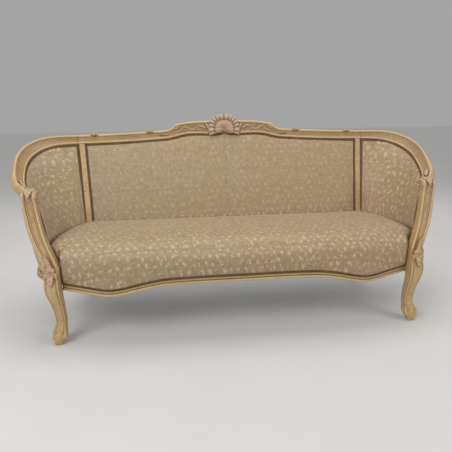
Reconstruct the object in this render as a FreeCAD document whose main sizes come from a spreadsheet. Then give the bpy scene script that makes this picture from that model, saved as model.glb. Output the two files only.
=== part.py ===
import FreeCAD
import Part
import math
import os
from FreeCAD import Vector

# A basket-shaped settee in the cabriole manner: a moulded beech frame with a serpentine
# front rail, scroll feet, flaring closed arms and a raised crest with a shell, and a
# sprung, tight upholstered seat, back and arms.
#
# Millimetres. +X is the viewer's right, -Y is towards the viewer, +Z is up, and the origin
# is on the floor at the middle of the settee. "right" in a name is the +X side. The right
# half is drawn, and the left half is its mirror image.

doc = FreeCAD.newDocument("settee")
sheet = doc.addObject("Spreadsheet::Sheet", "Sizes")

# Driving dimensions
SIZES = {
    # seat frame
    "deck_height": 332,          # top of the seat rails
    "seat_rise": 98,             # from there to the seat cover where it meets the back
    "rail_bottom": 262,          # plain bottom edge of the seat rails, where the webbing is
    "front_edge_height": 255,    # shaped lower edge of the front rail at the middle
    "front_dip": 43,             # depth of the two drops in that edge
    "front_reach": 352,          # front face of the front rail at the middle
    "front_sweep": 54,           # how far that face falls back at the legs
    "rail_thickness": 38,
    "rail_heel": 14,             # inner part of the front rail that stops at rail_bottom
    "lip_height": 26,            # show wood left bare below the cover
    "lip_depth": 12,             # from that wood back to the tacking face
    "side_reach": 938,           # outer face of the bowed side rails
    "side_rail_thickness": 36,
    "rear_rail_thickness": 30,
    # front legs
    "front_leg_x": 813,          # middle of the block at the top of the leg
    "front_leg_y": -295,
    "block_width": 66,
    "block_depth": 70,
    "block_top": 352,            # where the arm support stands on it
    "knee_half": 33,             # half widths up the leg
    "ankle_half": 22,
    "scroll_half": 29,
    "toe_half": 14,
    "ankle_height": 110,
    "scroll_height": 50,
    # back posts, which run down as the rear legs
    "post_x": 734,
    "post_width": 42,
    "post_depth": 44,
    "post_splay": 92,            # how far the foot stands behind the seat joint
    "post_foot": 32,
    "post_top_x": 771,
    "post_top_depth": 38,
    "stile_width": 30,           # width of the post between the panels
    "back_foot_y": 172,          # face of the back at the height of the seat
    "back_rake": 18.3,           # lean of the back, degrees
    # top rail
    "crest_top": 932,
    "crest_foot": 865,           # lower edge of the raised part
    "crest_notch": 15,           # how far that edge rises at the middle
    "crest_thickness": 36,
    "shoulder_x": 270,           # half width of the raised part
    "ear_radius": 13,
    "shoulder_height": 882,      # top of the rail beside the ears
    "rail_top": 867,             # top of the rail where the crest meets the arms
    "rail_face": 44,             # height of the moulded face there
    "rail_lean": 23,             # how far the top edge lies behind the lower edge
    "rail_width": 36,            # front to back
    "crest_end": 790,            # where the crest rail joins the arm rails
    "shell_length": 88,          # length of the middle flute of the shell
    "shell_root_height": 872,    # the point that the flutes spread from
    "shell_flute": 12,           # radius of a flute at its outer end
    "shell_count": 9,
    "shell_spread": 148,         # degrees
    # arms
    "arm_reach": 1034,           # outer edge of the arm rail where it is widest
    "knuckle_x": 896,
    "knuckle_y": -206,
    "knuckle_z": 630,
    "knuckle_radius": 36,
    "support_top": 622,
    "support_width": 57,
    "support_depth": 44,
    "support_foot_width": 46,
    # upholstery
    "pad_thickness": 28,         # back and arm stuffing
    "seat_inset": 87,            # side of the seat to the face of the side rail, at the widest
    "arm_belly": 8,              # how far the arm stuffing swells inward
    "cloth_thickness": 2,
    "hessian_thickness": 1.2,
    "panel_rise": 73,            # seat rails to the bottom of the back and arm panels
    "seat_side_gap": 5,          # seat stuffing to the panels
    "crown_height": 16,          # how far the seat rises towards its middle
    "border_bulge": 16,          # how far the front of the seat stands ahead of the lip
    "spring_rise": 54,           # seat rails to the top of the hessian over the springs
    "mound_inset": 24,           # how far in the hessian is drawn at its top
    "gimp_width": 11,
    "gimp_thickness": 3,
    # inner parts
    "web_width": 52,
    "web_thickness": 1.6,
    "web_pitch": 118,
    "spring_pitch_x": 236,
    "spring_segments": 5,        # straight lengths in one turn of wire
    "spring_pitch_y": 130,
    "spring_radius": 40,
    "spring_waist": 28,
    "spring_wire": 5,
    "spring_turns": 2,
    "brace_width": 30,
    "brace_gap": 22,             # underside of the braces to the underside of the rails
    "corner_height": 46,
    "lower_rail_height": 38,
    "lower_rail_thickness": 26,
    "tenon_thickness": 12,
    "tenon_height": 46,
    "tenon_length": 20,
    "fit_clearance": 0.15,       # tenons in mortises
    "soft_clearance": 0.3,       # soft pieces to what they lie against
}
for row, (alias, value) in enumerate(SIZES.items(), start=1):
    sheet.set(f"A{row}", alias)
    sheet.set(f"B{row}", str(value))
    sheet.setAlias(f"B{row}", alias)
doc.recompute()

SIDEWAYS = Vector(1, 0, 0)
BACKWARD = Vector(0, 1, 0)
UP = Vector(0, 0, 1)
nodes = []


def mm(alias):
    """The value of one cell of the sheet."""
    return float(sheet.get(alias))


def add(node, shape):
    """A named piece whose shape is worked out from the sheet."""
    piece = doc.addObject("Part::Feature", node)
    piece.Label = node
    piece.Shape = shape
    piece.Placement = FreeCAD.Placement()
    nodes.append(piece)
    return piece


def add_mirrored(node, source):
    """The left-hand twin of a right-hand piece."""
    piece = doc.addObject("Part::Mirroring", node)
    piece.Label = node
    piece.Source = source
    piece.Base = Vector(0, 0, 0)
    piece.Normal = SIDEWAYS
    nodes.append(piece)
    return piece


def add_pair(name, shape):
    add_mirrored(name + "_left", add(name + "_right", shape))


def mirrored(shape):
    return shape.mirror(Vector(0, 0, 0), SIDEWAYS)


def closed(points):
    """A closed polygon."""
    points = list(points)
    return Part.makePolygon(points + points[:1])


def smooth(points):
    """A curve through the points, one unit of parameter from each to the next."""
    points = list(points)
    curve = Part.BSplineCurve()
    curve.interpolate(Points=points, Parameters=[float(i) for i in range(len(points))])
    return curve


def loft(sections, ruled=False):
    return Part.makeLoft(list(sections), True, ruled)


def between(start, end, share):
    return start + (end - start) * share


# Levels that several pieces are set from
seat_top = mm("deck_height") + mm("seat_rise")
panel_base = mm("deck_height") + mm("panel_rise")
spring_deck = mm("deck_height") + mm("spring_rise")
seat_reach = mm("side_reach") - mm("seat_inset")


def twice_as_many(points):
    """The points, and the points of a smooth curve half way between them."""
    curve = smooth(points)
    return [curve.value(i / 2) for i in range(2 * len(points) - 1)]


def faceted(sections):
    """A solid with flat facets from each polygon to the next, corner to corner.

    Each pair of facets is split from its lower near corner to its upper far one, so that
    the two faces of a thin cloth keep the same folds.
    """
    rings = [[vertex.Point for vertex in section.OrderedVertexes] for section in sections]
    faces = [Part.Face(closed(rings[0])), Part.Face(closed(rings[-1]))]
    for near, far in zip(rings, rings[1:]):
        for here in range(len(near)):
            after = (here + 1) % len(near)
            low, high = (here, after) if near[here].z <= near[after].z else (after, here)
            faces.append(Part.Face(closed([near[low], near[high], far[high]])))
            faces.append(Part.Face(closed([near[low], far[high], far[low]])))
    skin = Part.makeShell(faces)
    skin.sewShape()
    return Part.makeSolid(skin)


def back_y(z):
    """The face of the leaning back at one height."""
    return mm("back_foot_y") + (z - seat_top) * math.tan(math.radians(mm("back_rake")))


def stile_x(z):
    """The middle of a back post above the seat."""
    share = (z - mm("deck_height")) / (mm("rail_top") - mm("deck_height"))
    return between(mm("post_x"), mm("post_top_x"), share)


BACK_NORMAL = Vector(0, -math.cos(math.radians(mm("back_rake"))), math.sin(math.radians(mm("back_rake"))))


def on_back(x, z, proud=0.0):
    """A point on the face of the back, or that far ahead of it."""
    return Vector(x, back_y(z), z) + BACK_NORMAL * proud


# Faces and joints of the frame that several pieces share
block_inner = mm("front_leg_x") - mm("block_width") / 2
block_outer = mm("front_leg_x") + mm("block_width") / 2
block_front = mm("front_leg_y") - mm("block_depth") / 2
block_rear = mm("front_leg_y") + mm("block_depth") / 2
post_y = back_y(mm("deck_height")) + mm("post_depth") / 2
post_inner = mm("post_x") - mm("post_width") / 2
post_outer = mm("post_x") + mm("post_width") / 2

# Serpentine front rail, from the middle to the leg: share of the length, share of the sweep
# back, share of the drop of the lower edge
FRONT_LINE = [
    (0.000, 0.00, 0.00),
    (0.183, 0.00, 0.00),
    (0.365, -0.06, 0.00),
    (0.487, -0.11, 0.14),
    (0.609, -0.07, 0.58),
    (0.731, 0.13, 1.00),
    (0.853, 0.56, 0.84),
    (1.000, 1.00, 0.42),
]


def front_stations():
    """x, y of the face and z of the lower edge, from the left leg to the right one."""
    half = []
    for along, back, drop in FRONT_LINE:
        y = -mm("front_reach") + mm("front_sweep") * back
        half.append(Vector(block_inner * along, y, mm("front_edge_height") - mm("front_dip") * drop))
    whole = [Vector(-p.x, p.y, p.z) for p in reversed(half[1:])] + half
    return [(p.x, p.y, p.z) for p in twice_as_many(whole)]


def show_wood(bottom, thickness, heel):
    """The section of a seat rail, as distance behind its face and height."""
    lip = bottom + mm("lip_height")
    section = [
        (3, bottom),
        (-2, bottom + 6),
        (1, bottom + 14),
        (1, lip),
        (mm("lip_depth"), lip),
        (mm("lip_depth"), mm("deck_height")),
        (thickness, mm("deck_height")),
    ]
    if heel:
        section += [(thickness, mm("rail_bottom")), (thickness - heel, mm("rail_bottom"))]
    return section + [(thickness - heel - 0.5, bottom)]


# Tenons on the ends of the rails and supports, for the right-hand half. Each mortise is the
# tenon and a clearance.
tenon_z = between(mm("rail_bottom"), mm("deck_height"), 0.5)
front_tenon_y = -mm("front_reach") + mm("front_sweep") + (mm("lip_depth") + mm("rail_thickness")) / 2
side_tenon_x = block_outer - 4 - (mm("lip_depth") + mm("side_rail_thickness")) / 2
support_tenon_y = block_front + mm("support_depth") / 2 + 2


def tenon(joint, way, slack=0.0):
    """A tongue that starts at the joint face and runs along way."""
    thick = mm("tenon_thickness") + 2 * slack
    tall = mm("tenon_height") + 2 * slack
    long = mm("tenon_length") + slack
    if way.z:
        size = Vector(tall * 0.6, thick, long)
    elif way.x:
        size = Vector(long, thick, tall)
    else:
        size = Vector(thick, long, tall)
    reach = Vector(way.x * size.x, way.y * size.y, way.z * size.z)
    corner = joint + reach / 2 - size / 2
    return Part.makeBox(size.x, size.y, size.z, corner)


front_tenon = (Vector(block_inner, front_tenon_y, tenon_z), SIDEWAYS)
side_front_tenon = (Vector(side_tenon_x, block_rear, tenon_z), -BACKWARD)
side_rear_tenon = (Vector(post_outer, post_y, tenon_z), -SIDEWAYS)
rear_tenon = (Vector(post_inner, post_y, tenon_z), SIDEWAYS)
support_tenon = (Vector(mm("front_leg_x") - 5, support_tenon_y, mm("block_top")), -UP)
knuckle_tenon = (Vector(mm("knuckle_x"), mm("knuckle_y") - 10, mm("support_top")), UP)


def mortises(*joints):
    return [tenon(joint, way, mm("fit_clearance")) for joint, way in joints]


# Front rail: one length with a bead along the shaped lower edge and a tacking face above
def front_rail_shape():
    sections = []
    for x, y, bottom in front_stations():
        profile = show_wood(bottom, mm("rail_thickness"), mm("rail_heel"))
        sections.append(closed(Vector(x, y + depth, z) for depth, z in profile))
    tongue = tenon(*front_tenon)
    return faceted(sections).fuse([tongue, mirrored(tongue)])


front_rail = front_rail_shape()
add("front_rail", front_rail)

# Rear seat rail: a plain board between the back posts, with a tenon at each end
rear_board = doc.addObject("Part::Box", "rear_board")
rear_board.setExpression("Length", "2 * (Sizes.post_x - Sizes.post_width / 2)")
rear_board.setExpression("Width", "Sizes.rear_rail_thickness")
rear_board.setExpression("Height", "Sizes.deck_height - Sizes.rail_bottom")
rear_board.setExpression("Placement.Base.x", "Sizes.post_width / 2 - Sizes.post_x")
POST_LINE = (
    "Sizes.back_foot_y - Sizes.seat_rise * tan(Sizes.back_rake * 1 deg)"
    " + Sizes.post_depth / 2"
)
rear_board.setExpression("Placement.Base.y", POST_LINE + " - Sizes.rear_rail_thickness / 2")
rear_board.setExpression("Placement.Base.z", "Sizes.rail_bottom")
rear_tongue = doc.addObject("Part::Box", "rear_tongue")
rear_tongue.setExpression("Length", "2 * (Sizes.post_x - Sizes.post_width / 2 + Sizes.tenon_length)")
rear_tongue.setExpression("Width", "Sizes.tenon_thickness")
rear_tongue.setExpression("Height", "Sizes.tenon_height")
rear_tongue.setExpression("Placement.Base.x", "Sizes.post_width / 2 - Sizes.post_x - Sizes.tenon_length")
rear_tongue.setExpression("Placement.Base.y", POST_LINE + " - Sizes.tenon_thickness / 2")
rear_tongue.setExpression("Placement.Base.z", "(Sizes.deck_height + Sizes.rail_bottom - Sizes.tenon_height) / 2")
rear_rail = doc.addObject("Part::Fuse", "rear_rail")
rear_rail.Label = "rear_rail"
rear_rail.Base = rear_board
rear_rail.Tool = rear_tongue
nodes.append(rear_rail)


# Side rails: bowed outward from the leg block round to the back post
def side_line():
    """Outer and inner points of the side rail in plan, from front to rear."""
    reach = mm("side_reach")
    thick = mm("side_rail_thickness")
    start = block_outer - 4
    rear = post_y + thick / 2
    outer = [
        (start, block_rear),
        (between(start, reach, 0.56), between(block_rear, rear, 0.109)),
        (between(start, reach, 0.92), between(block_rear, rear, 0.296)),
        (reach, between(block_rear, rear, 0.505)),
        (between(post_outer, reach, 0.89), between(block_rear, rear, 0.732)),
        (between(post_outer, reach, 0.60), between(block_rear, rear, 0.891)),
        (between(post_outer, reach, 0.26), between(block_rear, rear, 0.977)),
        (post_outer, rear),
    ]
    inward = [
        Vector(-1, 0, 0),
        Vector(-0.80, 0.60, 0),
        Vector(-0.96, 0.28, 0),
        Vector(-1, -0.03, 0),
        Vector(-0.92, -0.39, 0),
        Vector(-0.62, -0.78, 0),
        Vector(-0.24, -0.97, 0),
        Vector(0, -1, 0),
    ]
    return [(Vector(x, y, 0), way) for (x, y), way in zip(outer, inward)]


def side_rail_shape():
    sections = []
    profile = show_wood(mm("rail_bottom"), mm("side_rail_thickness"), 0)
    line = side_line()
    edge = twice_as_many([outer for outer, inward in line])
    ways = twice_as_many([inward for outer, inward in line])
    for outer, inward in zip(edge, ways):
        sections.append(closed(outer + inward * depth + UP * z for depth, z in profile))
    return faceted(sections).fuse([tenon(*side_front_tenon), tenon(*side_rear_tenon)])


side_rail = side_rail_shape()
add_pair("side_rail", side_rail)


# Front legs: a square block for the joints, a knee, a slim ankle and a scroll foot
def eight_sided(x, y, z, half_x, half_y, cut):
    """A rectangle with its corners taken off, at one height."""
    return closed(
        Vector(x + a, y + b, z)
        for a, b in (
            (half_x, half_y - cut),
            (half_x - cut, half_y),
            (cut - half_x, half_y),
            (-half_x, half_y - cut),
            (-half_x, cut - half_y),
            (cut - half_x, -half_y),
            (half_x - cut, -half_y),
            (half_x, cut - half_y),
        )
    )


def front_leg_shape():
    x = mm("front_leg_x")
    y = mm("front_leg_y")
    knee = mm("knee_half")
    ankle = mm("ankle_half")
    scroll = mm("scroll_half")
    toe = mm("toe_half")
    scroll_z = mm("scroll_height")
    ankle_z = mm("ankle_height")
    knee_z = mm("rail_bottom")
    levels = [
        (x - 1, y - 31, 0, toe, toe + 2, 5),
        (x - 2, y - 32, scroll_z * 0.28, toe + 4, toe + 6, 7),
        (x - 8, y - 25, scroll_z * 0.80, scroll, scroll - 2, 11),
        (x - 10, y - 23, scroll_z * 1.20, scroll, scroll - 3, 11),
        (x - 15, y - 19, scroll_z * 1.70, ankle + 2, ankle + 1, 8),
        (x - 18, y - 17, ankle_z, ankle, ankle - 1, 7),
        (x - 16, y - 24, between(ankle_z, knee_z, 0.36), ankle + 1, ankle + 2, 7),
        (x - 10, y - 31, between(ankle_z, knee_z, 0.66), between(ankle, knee, 0.5), between(ankle, knee, 0.6), 8),
        (x - 4, y - 29, between(ankle_z, knee_z, 0.86), knee - 1, knee, 9),
        (x, y - 25, knee_z + 8, knee, knee, 9),
        (x, y - 20, knee_z + 38, knee - 2, knee - 4, 9),
        (x, y - 10, mm("block_top"), knee - 6, mm("block_depth") / 2 - 12, 9),
    ]
    middles = twice_as_many([Vector(level[0], level[1], level[2]) for level in levels])
    halves = twice_as_many([Vector(level[3], level[4], level[5]) for level in levels])
    leg = faceted([eight_sided(*middle, *half) for middle, half in zip(middles, halves)])
    block = Part.makeBox(
        mm("block_width"),
        mm("block_depth"),
        mm("block_top") - mm("rail_bottom"),
        Vector(block_inner, block_front, mm("rail_bottom")),
    )
    return leg.fuse(block).removeSplitter()


front_leg = front_leg_shape().cut(mortises(front_tenon, side_front_tenon, support_tenon))
add_pair("front_leg", front_leg)


# Top rail. Two lines run along its moulded face: the lower, inner one where the fabric ends,
# and the upper, outer edge. The face twists from facing forward to facing inward and up.
rail_fall = mm("shoulder_height") - mm("rail_top")
face_rise = UP * mm("rail_face") + BACKWARD * mm("rail_lean")
ALONG_BACK = [(0.04, 1.00), (0.40, 0.62), (0.70, 0.18), (1.00, 0.00)]


def crest_inner():
    """The lower edge of the rail, from beside the ear to the arm joint."""
    points = []
    for along, share in ALONG_BACK:
        x = between(mm("shoulder_x"), mm("crest_end"), along)
        points.append(on_back(x, mm("rail_top") - mm("rail_face") + rail_fall * share))
    return points


def raised_foot():
    """The lower edge of the raised part, from the notch in the middle to the ear."""
    foot = mm("crest_foot")
    return [
        on_back(0, foot + mm("crest_notch")),
        on_back(28, foot + 1),
        on_back(80, foot - 1),
        on_back(mm("shoulder_x") - 120, foot + 1),
        on_back(mm("shoulder_x") - 55, foot - 3),
    ]


def arm_lines():
    """Outer and inner edge of the arm rail, from the crest joint to the knuckle."""
    start = crest_inner()[-1]
    outer_start = start + face_rise
    end = Vector(mm("knuckle_x") + 22, mm("knuckle_y") + 6, mm("knuckle_z") + 33)
    outer = [outer_start]
    for share_x, share_y, share_z in ((0.56, 0.950, 0.980), (0.88, 0.815, 0.860), (1.00, 0.615, 0.645)):
        x = between(outer_start.x, mm("arm_reach"), share_x)
        y = between(end.y, outer_start.y, share_y)
        outer.append(Vector(x, y, between(end.z, outer_start.z, share_z)))
    for share_x, share_y, share_z in ((0.90, 0.400, 0.365), (0.59, 0.185, 0.125)):
        x = between(end.x, mm("arm_reach"), share_x)
        y = between(end.y, outer_start.y, share_y)
        outer.append(Vector(x, y, between(end.z, outer_start.z, share_z)))
    outer.append(end)
    across = [
        start - outer_start,
        Vector(-32, -22, -46),
        Vector(-43, -13, -44),
        Vector(-42, -5, -43),
        Vector(-40, 5, -38),
        Vector(-36, 20, -31),
        Vector(-48, 6, -12),
    ]
    inner = [point + step for point, step in zip(outer, across)]
    return outer, inner


def rail_profile(thickness):
    """The moulded section: share of the face from inner to outer edge, distance proud."""
    return [
        (0.00, -2.0),
        (0.05, 3.0),
        (0.20, 2.0),
        (0.28, -2.0),
        (0.68, -2.5),
        (0.78, 3.0),
        (0.96, 2.5),
        (1.00, -3.0),
        (0.90, -0.85 * thickness),
        (0.40, -thickness),
        (0.00, -0.65 * thickness),
    ]


def facings(outer, inner, steps=1):
    """At each station, and at steps to the next: the two points and the way the face looks."""
    outer_curve = smooth(outer)
    inner_curve = smooth(inner)
    found = []
    for i in range(steps * (len(outer) - 1) + 1):
        at = i / steps
        top = outer_curve.value(at)
        low = inner_curve.value(at)
        along = outer_curve.tangent(at)[0] + inner_curve.tangent(at)[0]
        facing = along.cross(top - low)
        found.append((top, low, facing.normalize()))
    return found


def rail_sections(outer, inner, thickness):
    sections = []
    for top, low, facing in facings(outer, inner, 3):
        profile = rail_profile(thickness)
        sections.append(closed(low + (top - low) * u + facing * v for u, v in profile))
    return sections


# The straight end section, square to the length, that the crest and arm rails share
joint_low = crest_inner()[-1]
joint_facing = SIDEWAYS.cross(face_rise).normalize()
joint_section = closed(
    joint_low + face_rise * u + joint_facing * v for u, v in rail_profile(mm("rail_width"))
)


def crest_side():
    low = crest_inner()
    low.insert(0, low[0] - SIDEWAYS * 40)
    sections = []
    for point in twice_as_many(low):
        profile = rail_profile(mm("rail_width"))
        sections.append(closed(point + face_rise * u + joint_facing * v for u, v in profile))
    return faceted(sections)


def crest_plate():
    """The raised middle: sawn to outline, with an ear at each end."""
    top = mm("crest_top")
    ear = mm("ear_radius")
    shoulder = mm("shoulder_x")
    upper = [(0, top), (80, top - 1), (shoulder - 120, top - 3), (shoulder - 65, top - 8), (shoulder - ear, top - 12)]
    lower = raised_foot() + [crest_inner()[0] - SIDEWAYS * 22]
    back = -mm("crest_thickness")
    upper_right = [on_back(x, z, back) for x, z in upper]
    lower_right = [point + BACK_NORMAL * back for point in lower]
    upper_edge = smooth([Vector(-p.x, p.y, p.z) for p in reversed(upper_right[1:])] + upper_right).toShape()
    foot_right = smooth(lower_right).toShape()
    foot_left = mirrored(foot_right)
    ends = [
        Part.makeLine(upper_right[-1], lower_right[-1]),
        Part.makeLine(Vector(-upper_right[-1].x, upper_right[-1].y, upper_right[-1].z),
                      Vector(-lower_right[-1].x, lower_right[-1].y, lower_right[-1].z)),
    ]
    outline = Part.Wire(Part.__sortEdges__([upper_edge, foot_right, foot_left] + ends))
    plate = Part.Face(outline).extrude(BACK_NORMAL * (mm("crest_thickness") + 2))
    middle = on_back(shoulder - ear, top - 12 - ear, back - 1)
    scroll = Part.makeCylinder(ear, mm("crest_thickness") + 7, middle, BACK_NORMAL)
    return plate.fuse([scroll, mirrored(scroll)])


def shell():
    """A fan of tapered flutes that spread from one root."""
    flute = mm("shell_flute")
    root = on_back(0, mm("shell_root_height"), -2)
    flutes = []
    for i in range(int(mm("shell_count"))):
        turn = math.radians(mm("shell_spread")) * (i / (mm("shell_count") - 1) - 0.5)
        length = mm("shell_length") * (1 - 0.12 * math.sin(turn) ** 2)
        rings = []
        for radius, height in ((0.28, 0.0), (1.0, length - flute * 0.3), (0.55, length + flute)):
            corners = []
            for step in range(8):
                bearing = math.radians(45 * step + 22.5)
                corners.append(Vector(math.cos(bearing), math.sin(bearing), 0) * (flute * radius) + UP * height)
            rings.append(closed(corners))
        petal = faceted(rings)
        petal.rotate(Vector(0, 0, 0), BACKWARD, math.degrees(turn))
        petal.rotate(Vector(0, 0, 0), SIDEWAYS, -mm("back_rake"))
        petal.translate(root)
        flutes.append(petal)
    return flutes


# Crest rail: the raised plate, a moulded length each side of it and the carved shell, all
# from one board
crest_right = crest_side()
crest_rail = crest_plate().fuse([crest_right, mirrored(crest_right)] + shell())
add("crest_rail", crest_rail)


# Arm rails: from the crest joint round the corner, forward and down into a turned knuckle
def knuckle_shape():
    half = mm("support_width") / 2
    radius = mm("knuckle_radius")
    rim = closed(
        Vector(x, 0, z)
        for x, z in (
            (-half, 0),
            (-half, radius - 6),
            (-half + 6, radius),
            (-half + 14, radius - 5),
            (half - 14, radius - 5),
            (half - 6, radius),
            (half, radius - 6),
            (half, 0),
        )
    )
    knuckle = Part.Face(rim).revolve(Vector(0, 0, 0), SIDEWAYS, 360)
    knuckle.translate(Vector(mm("knuckle_x"), mm("knuckle_y"), mm("knuckle_z")))
    return knuckle


def arm_rail_shape():
    outer, inner = arm_lines()
    sections = rail_sections(outer, inner, mm("rail_width"))
    sections[0] = joint_section
    rail = faceted(sections).fuse(knuckle_shape())
    reach = 4 * mm("knuckle_radius")
    corner = Vector(mm("knuckle_x") - reach, mm("knuckle_y") - reach, mm("support_top") - reach)
    below = Part.makeBox(2 * reach, 2 * reach, reach, corner)
    return rail.cut(below)


arm_rail = arm_rail_shape().cut(mortises(knuckle_tenon))
add_pair("arm_rail", arm_rail)

# Arm supports: share of the height, of the way outward, of the way back, of the widening
SUPPORT_LINE = [
    (0.000, 0.00, 0.00, 0.00),
    (0.070, 0.06, 0.05, 0.00),
    (0.326, 0.50, 0.39, 0.50),
    (0.622, 0.82, 0.76, 0.90),
    (0.900, 0.98, 0.97, 1.00),
    (1.000, 1.00, 1.00, 1.00),
]


def support_levels():
    """The middle of the front edge of the arm support, and its width, from the foot up."""
    middles = []
    widths = []
    for up, out, back, wide in SUPPORT_LINE:
        x = between(mm("front_leg_x") - 5, mm("knuckle_x"), out)
        y = between(block_front, mm("knuckle_y") - mm("knuckle_radius") + 2, back)
        middles.append(Vector(x, y, between(mm("block_top"), mm("support_top"), up)))
        widths.append(Vector(between(mm("support_foot_width"), mm("support_width"), wide), 0, middles[-1].z))
    return list(zip(twice_as_many(middles), [width.x for width in twice_as_many(widths)]))


def support_at(z):
    """The same at any height: x, y and width."""
    levels = support_levels()
    for (low, low_width), (high, high_width) in zip(levels, levels[1:]):
        if z <= high.z:
            share = (z - low.z) / (high.z - low.z)
            middle = between(low, high, share)
            return middle.x, middle.y, between(low_width, high_width, share)
    middle, width = levels[-1]
    return middle.x, middle.y, width


def arm_support_shape():
    sections = []
    depth = mm("support_depth")
    for middle, width in support_levels():
        sections.append(closed(
            middle + SIDEWAYS * (width * a) + BACKWARD * b
            for a, b in (
                (-0.50, 6), (-0.46, 1), (-0.36, -1), (-0.26, 3), (0.0, 5), (0.26, 3), (0.36, -1),
                (0.46, 1), (0.50, 6), (0.50, depth - 6), (0.42, depth), (-0.42, depth), (-0.50, depth - 6),
            )
        ))
    return faceted(sections)


support_solid = arm_support_shape()
arm_support = support_solid.fuse([tenon(*support_tenon), tenon(*knuckle_tenon)])
add_pair("arm_support", arm_support)


# Back posts: a splayed leg, an upright part at the seat joint and a raked stile above
def post_half(z):
    """Half the width of a post above the seat joint."""
    share = min(1, (z - mm("deck_height")) / (panel_base - 5 - mm("deck_height")))
    return between(mm("post_width"), mm("stile_width"), share) / 2


def post_shape():
    half = mm("post_width") / 2
    depth = mm("post_depth") / 2
    foot = mm("post_foot") / 2
    levels = [
        (mm("post_x") - 3, post_y + mm("post_splay"), 0, foot, foot, 4),
        (mm("post_x") - 2, post_y + mm("post_splay") * 0.52, mm("rail_bottom") * 0.48, foot + 2, foot + 3, 4),
        (mm("post_x"), post_y, mm("rail_bottom"), half, depth, 4),
        (mm("post_x"), post_y, mm("deck_height"), half, depth, 4),
    ]
    for z, deep in ((panel_base - 5, mm("post_depth")), (mm("crest_foot") + 20, mm("post_top_depth"))):
        levels.append((stile_x(z), back_y(z) + deep / 2, z, post_half(z), deep / 2, 2))
    return faceted([eight_sided(*level) for level in levels])


post_solid = post_shape()
rear_leg = post_solid.cut([crest_rail, arm_rail] + mortises(rear_tenon, side_rear_tenon))
rear_leg = max(rear_leg.Solids, key=lambda solid: solid.Volume)
add_pair("rear_leg", rear_leg)


# Stay rail of the back, between the posts just above the seat
def back_plate(outline, near, far):
    """A flat piece in the slope of the back: (x, z) corners, depth of its two faces."""
    corners = [on_back(x, z, far) for x, z in outline]
    return Part.Face(closed(corners)).extrude(BACK_NORMAL * (near - far))


stay_top = panel_base - 1
stay_foot = stay_top - mm("lower_rail_height")
stay_ends = []
for z in (stay_foot, panel_base - 5, stay_top):
    stay_ends.append((stile_x(z) - post_half(z), z))
stay_outline = stay_ends + [(-x, z) for x, z in reversed(stay_ends)]
add("lower_back_rail", back_plate(stay_outline, -4, -4 - mm("lower_rail_thickness")))

# The side of the seat, where it meets the arm: share outward and share forward
SEAT_LINE = [
    (0.00, 0.000),
    (0.32, 0.115),
    (0.68, 0.268),
    (0.886, 0.432),
    (0.99, 0.596),
    (1.00, 0.737),
    (0.94, 0.880),
]


def seat_side():
    """From the back post to the arm support, at the foot of the arm panel."""
    z = panel_base
    rear = on_back(stile_x(z) + mm("stile_width") / 2 + 1, z)
    x, y, width = support_at(z)
    front = Vector(x - width / 2 + 9, y + mm("support_depth") - 12, z)
    points = []
    for out, forward in SEAT_LINE:
        points.append(Vector(between(rear.x, seat_reach, out), between(rear.y, front.y, forward), z))
    return points + [front]


def arm_top():
    """The upper edge of the arm panel, under the arm rail."""
    z = mm("rail_top") - mm("rail_face")
    outer, inner = arm_lines()
    points = [on_back(stile_x(z) + mm("stile_width") / 2 + 1, z - 1)]
    for top, low in list(zip(outer, inner))[1:6]:
        points.append(low - (top - low).normalize())
    z = mm("support_top") - 6
    x, y, width = support_at(z)
    front = Vector(x - width / 2 + 9, y + mm("support_depth") - 10, z)
    points.append(between(points[-1], front, 0.62) + Vector(6, 8, 2))
    return points + [front]


panel_foot = seat_side()
panel_facing = [facing for top, low, facing in facings(arm_top(), panel_foot)]
panel_facing[0] = between(BACK_NORMAL, panel_facing[0], 0.3)
panel_top = twice_as_many(arm_top())
panel_foot = twice_as_many(panel_foot)
panel_middle = [between(top, low, 0.5) for top, low in zip(panel_top, panel_foot)]
panel_facing = [facing.normalize() for facing in twice_as_many(panel_facing)]


def arm_panel(near, far):
    """A layer of the inside arm between two depths behind its face."""
    sections = []
    for top, mid, low, facing in zip(panel_top, panel_middle, panel_foot, panel_facing):
        belly = facing * mm("arm_belly")
        face = [low, mid + belly, top]
        corners = [point + facing * near for point in face]
        corners += [point + facing * far for point in reversed(face)]
        sections.append(closed(corners))
    panel = faceted(sections).cut(support_solid)
    return max(panel.Solids, key=lambda solid: solid.Volume)


cloth = mm("cloth_thickness")
soft = mm("soft_clearance")


# Lower arm rails: carry the foot of the arm panels from the post to the support
def lower_arm_shape():
    line = [panel_foot[0] - SIDEWAYS * 6] + panel_foot[2:-1:2]
    line.append(panel_foot[-1] - BACKWARD * 12 + SIDEWAYS * 2)
    curve = smooth(line)
    sections = []
    for i in range(2 * len(line) - 1):
        point = curve.value(i / 2)
        way = curve.tangent(i / 2)[0]
        outward = Vector(-way.y, way.x, 0).normalize()
        sections.append(closed(
            Vector(point.x, point.y, z) + outward * depth
            for depth, z in (
                (4, stay_foot), (4 + mm("lower_rail_thickness"), stay_foot),
                (4 + mm("lower_rail_thickness"), stay_top), (4, stay_top),
            )
        ))
    rail = faceted(sections).cut([post_solid, support_solid])
    return max(rail.Solids, key=lambda solid: solid.Volume)


lower_arm_rail = lower_arm_shape()
add_pair("lower_arm_rail", lower_arm_rail)

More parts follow.
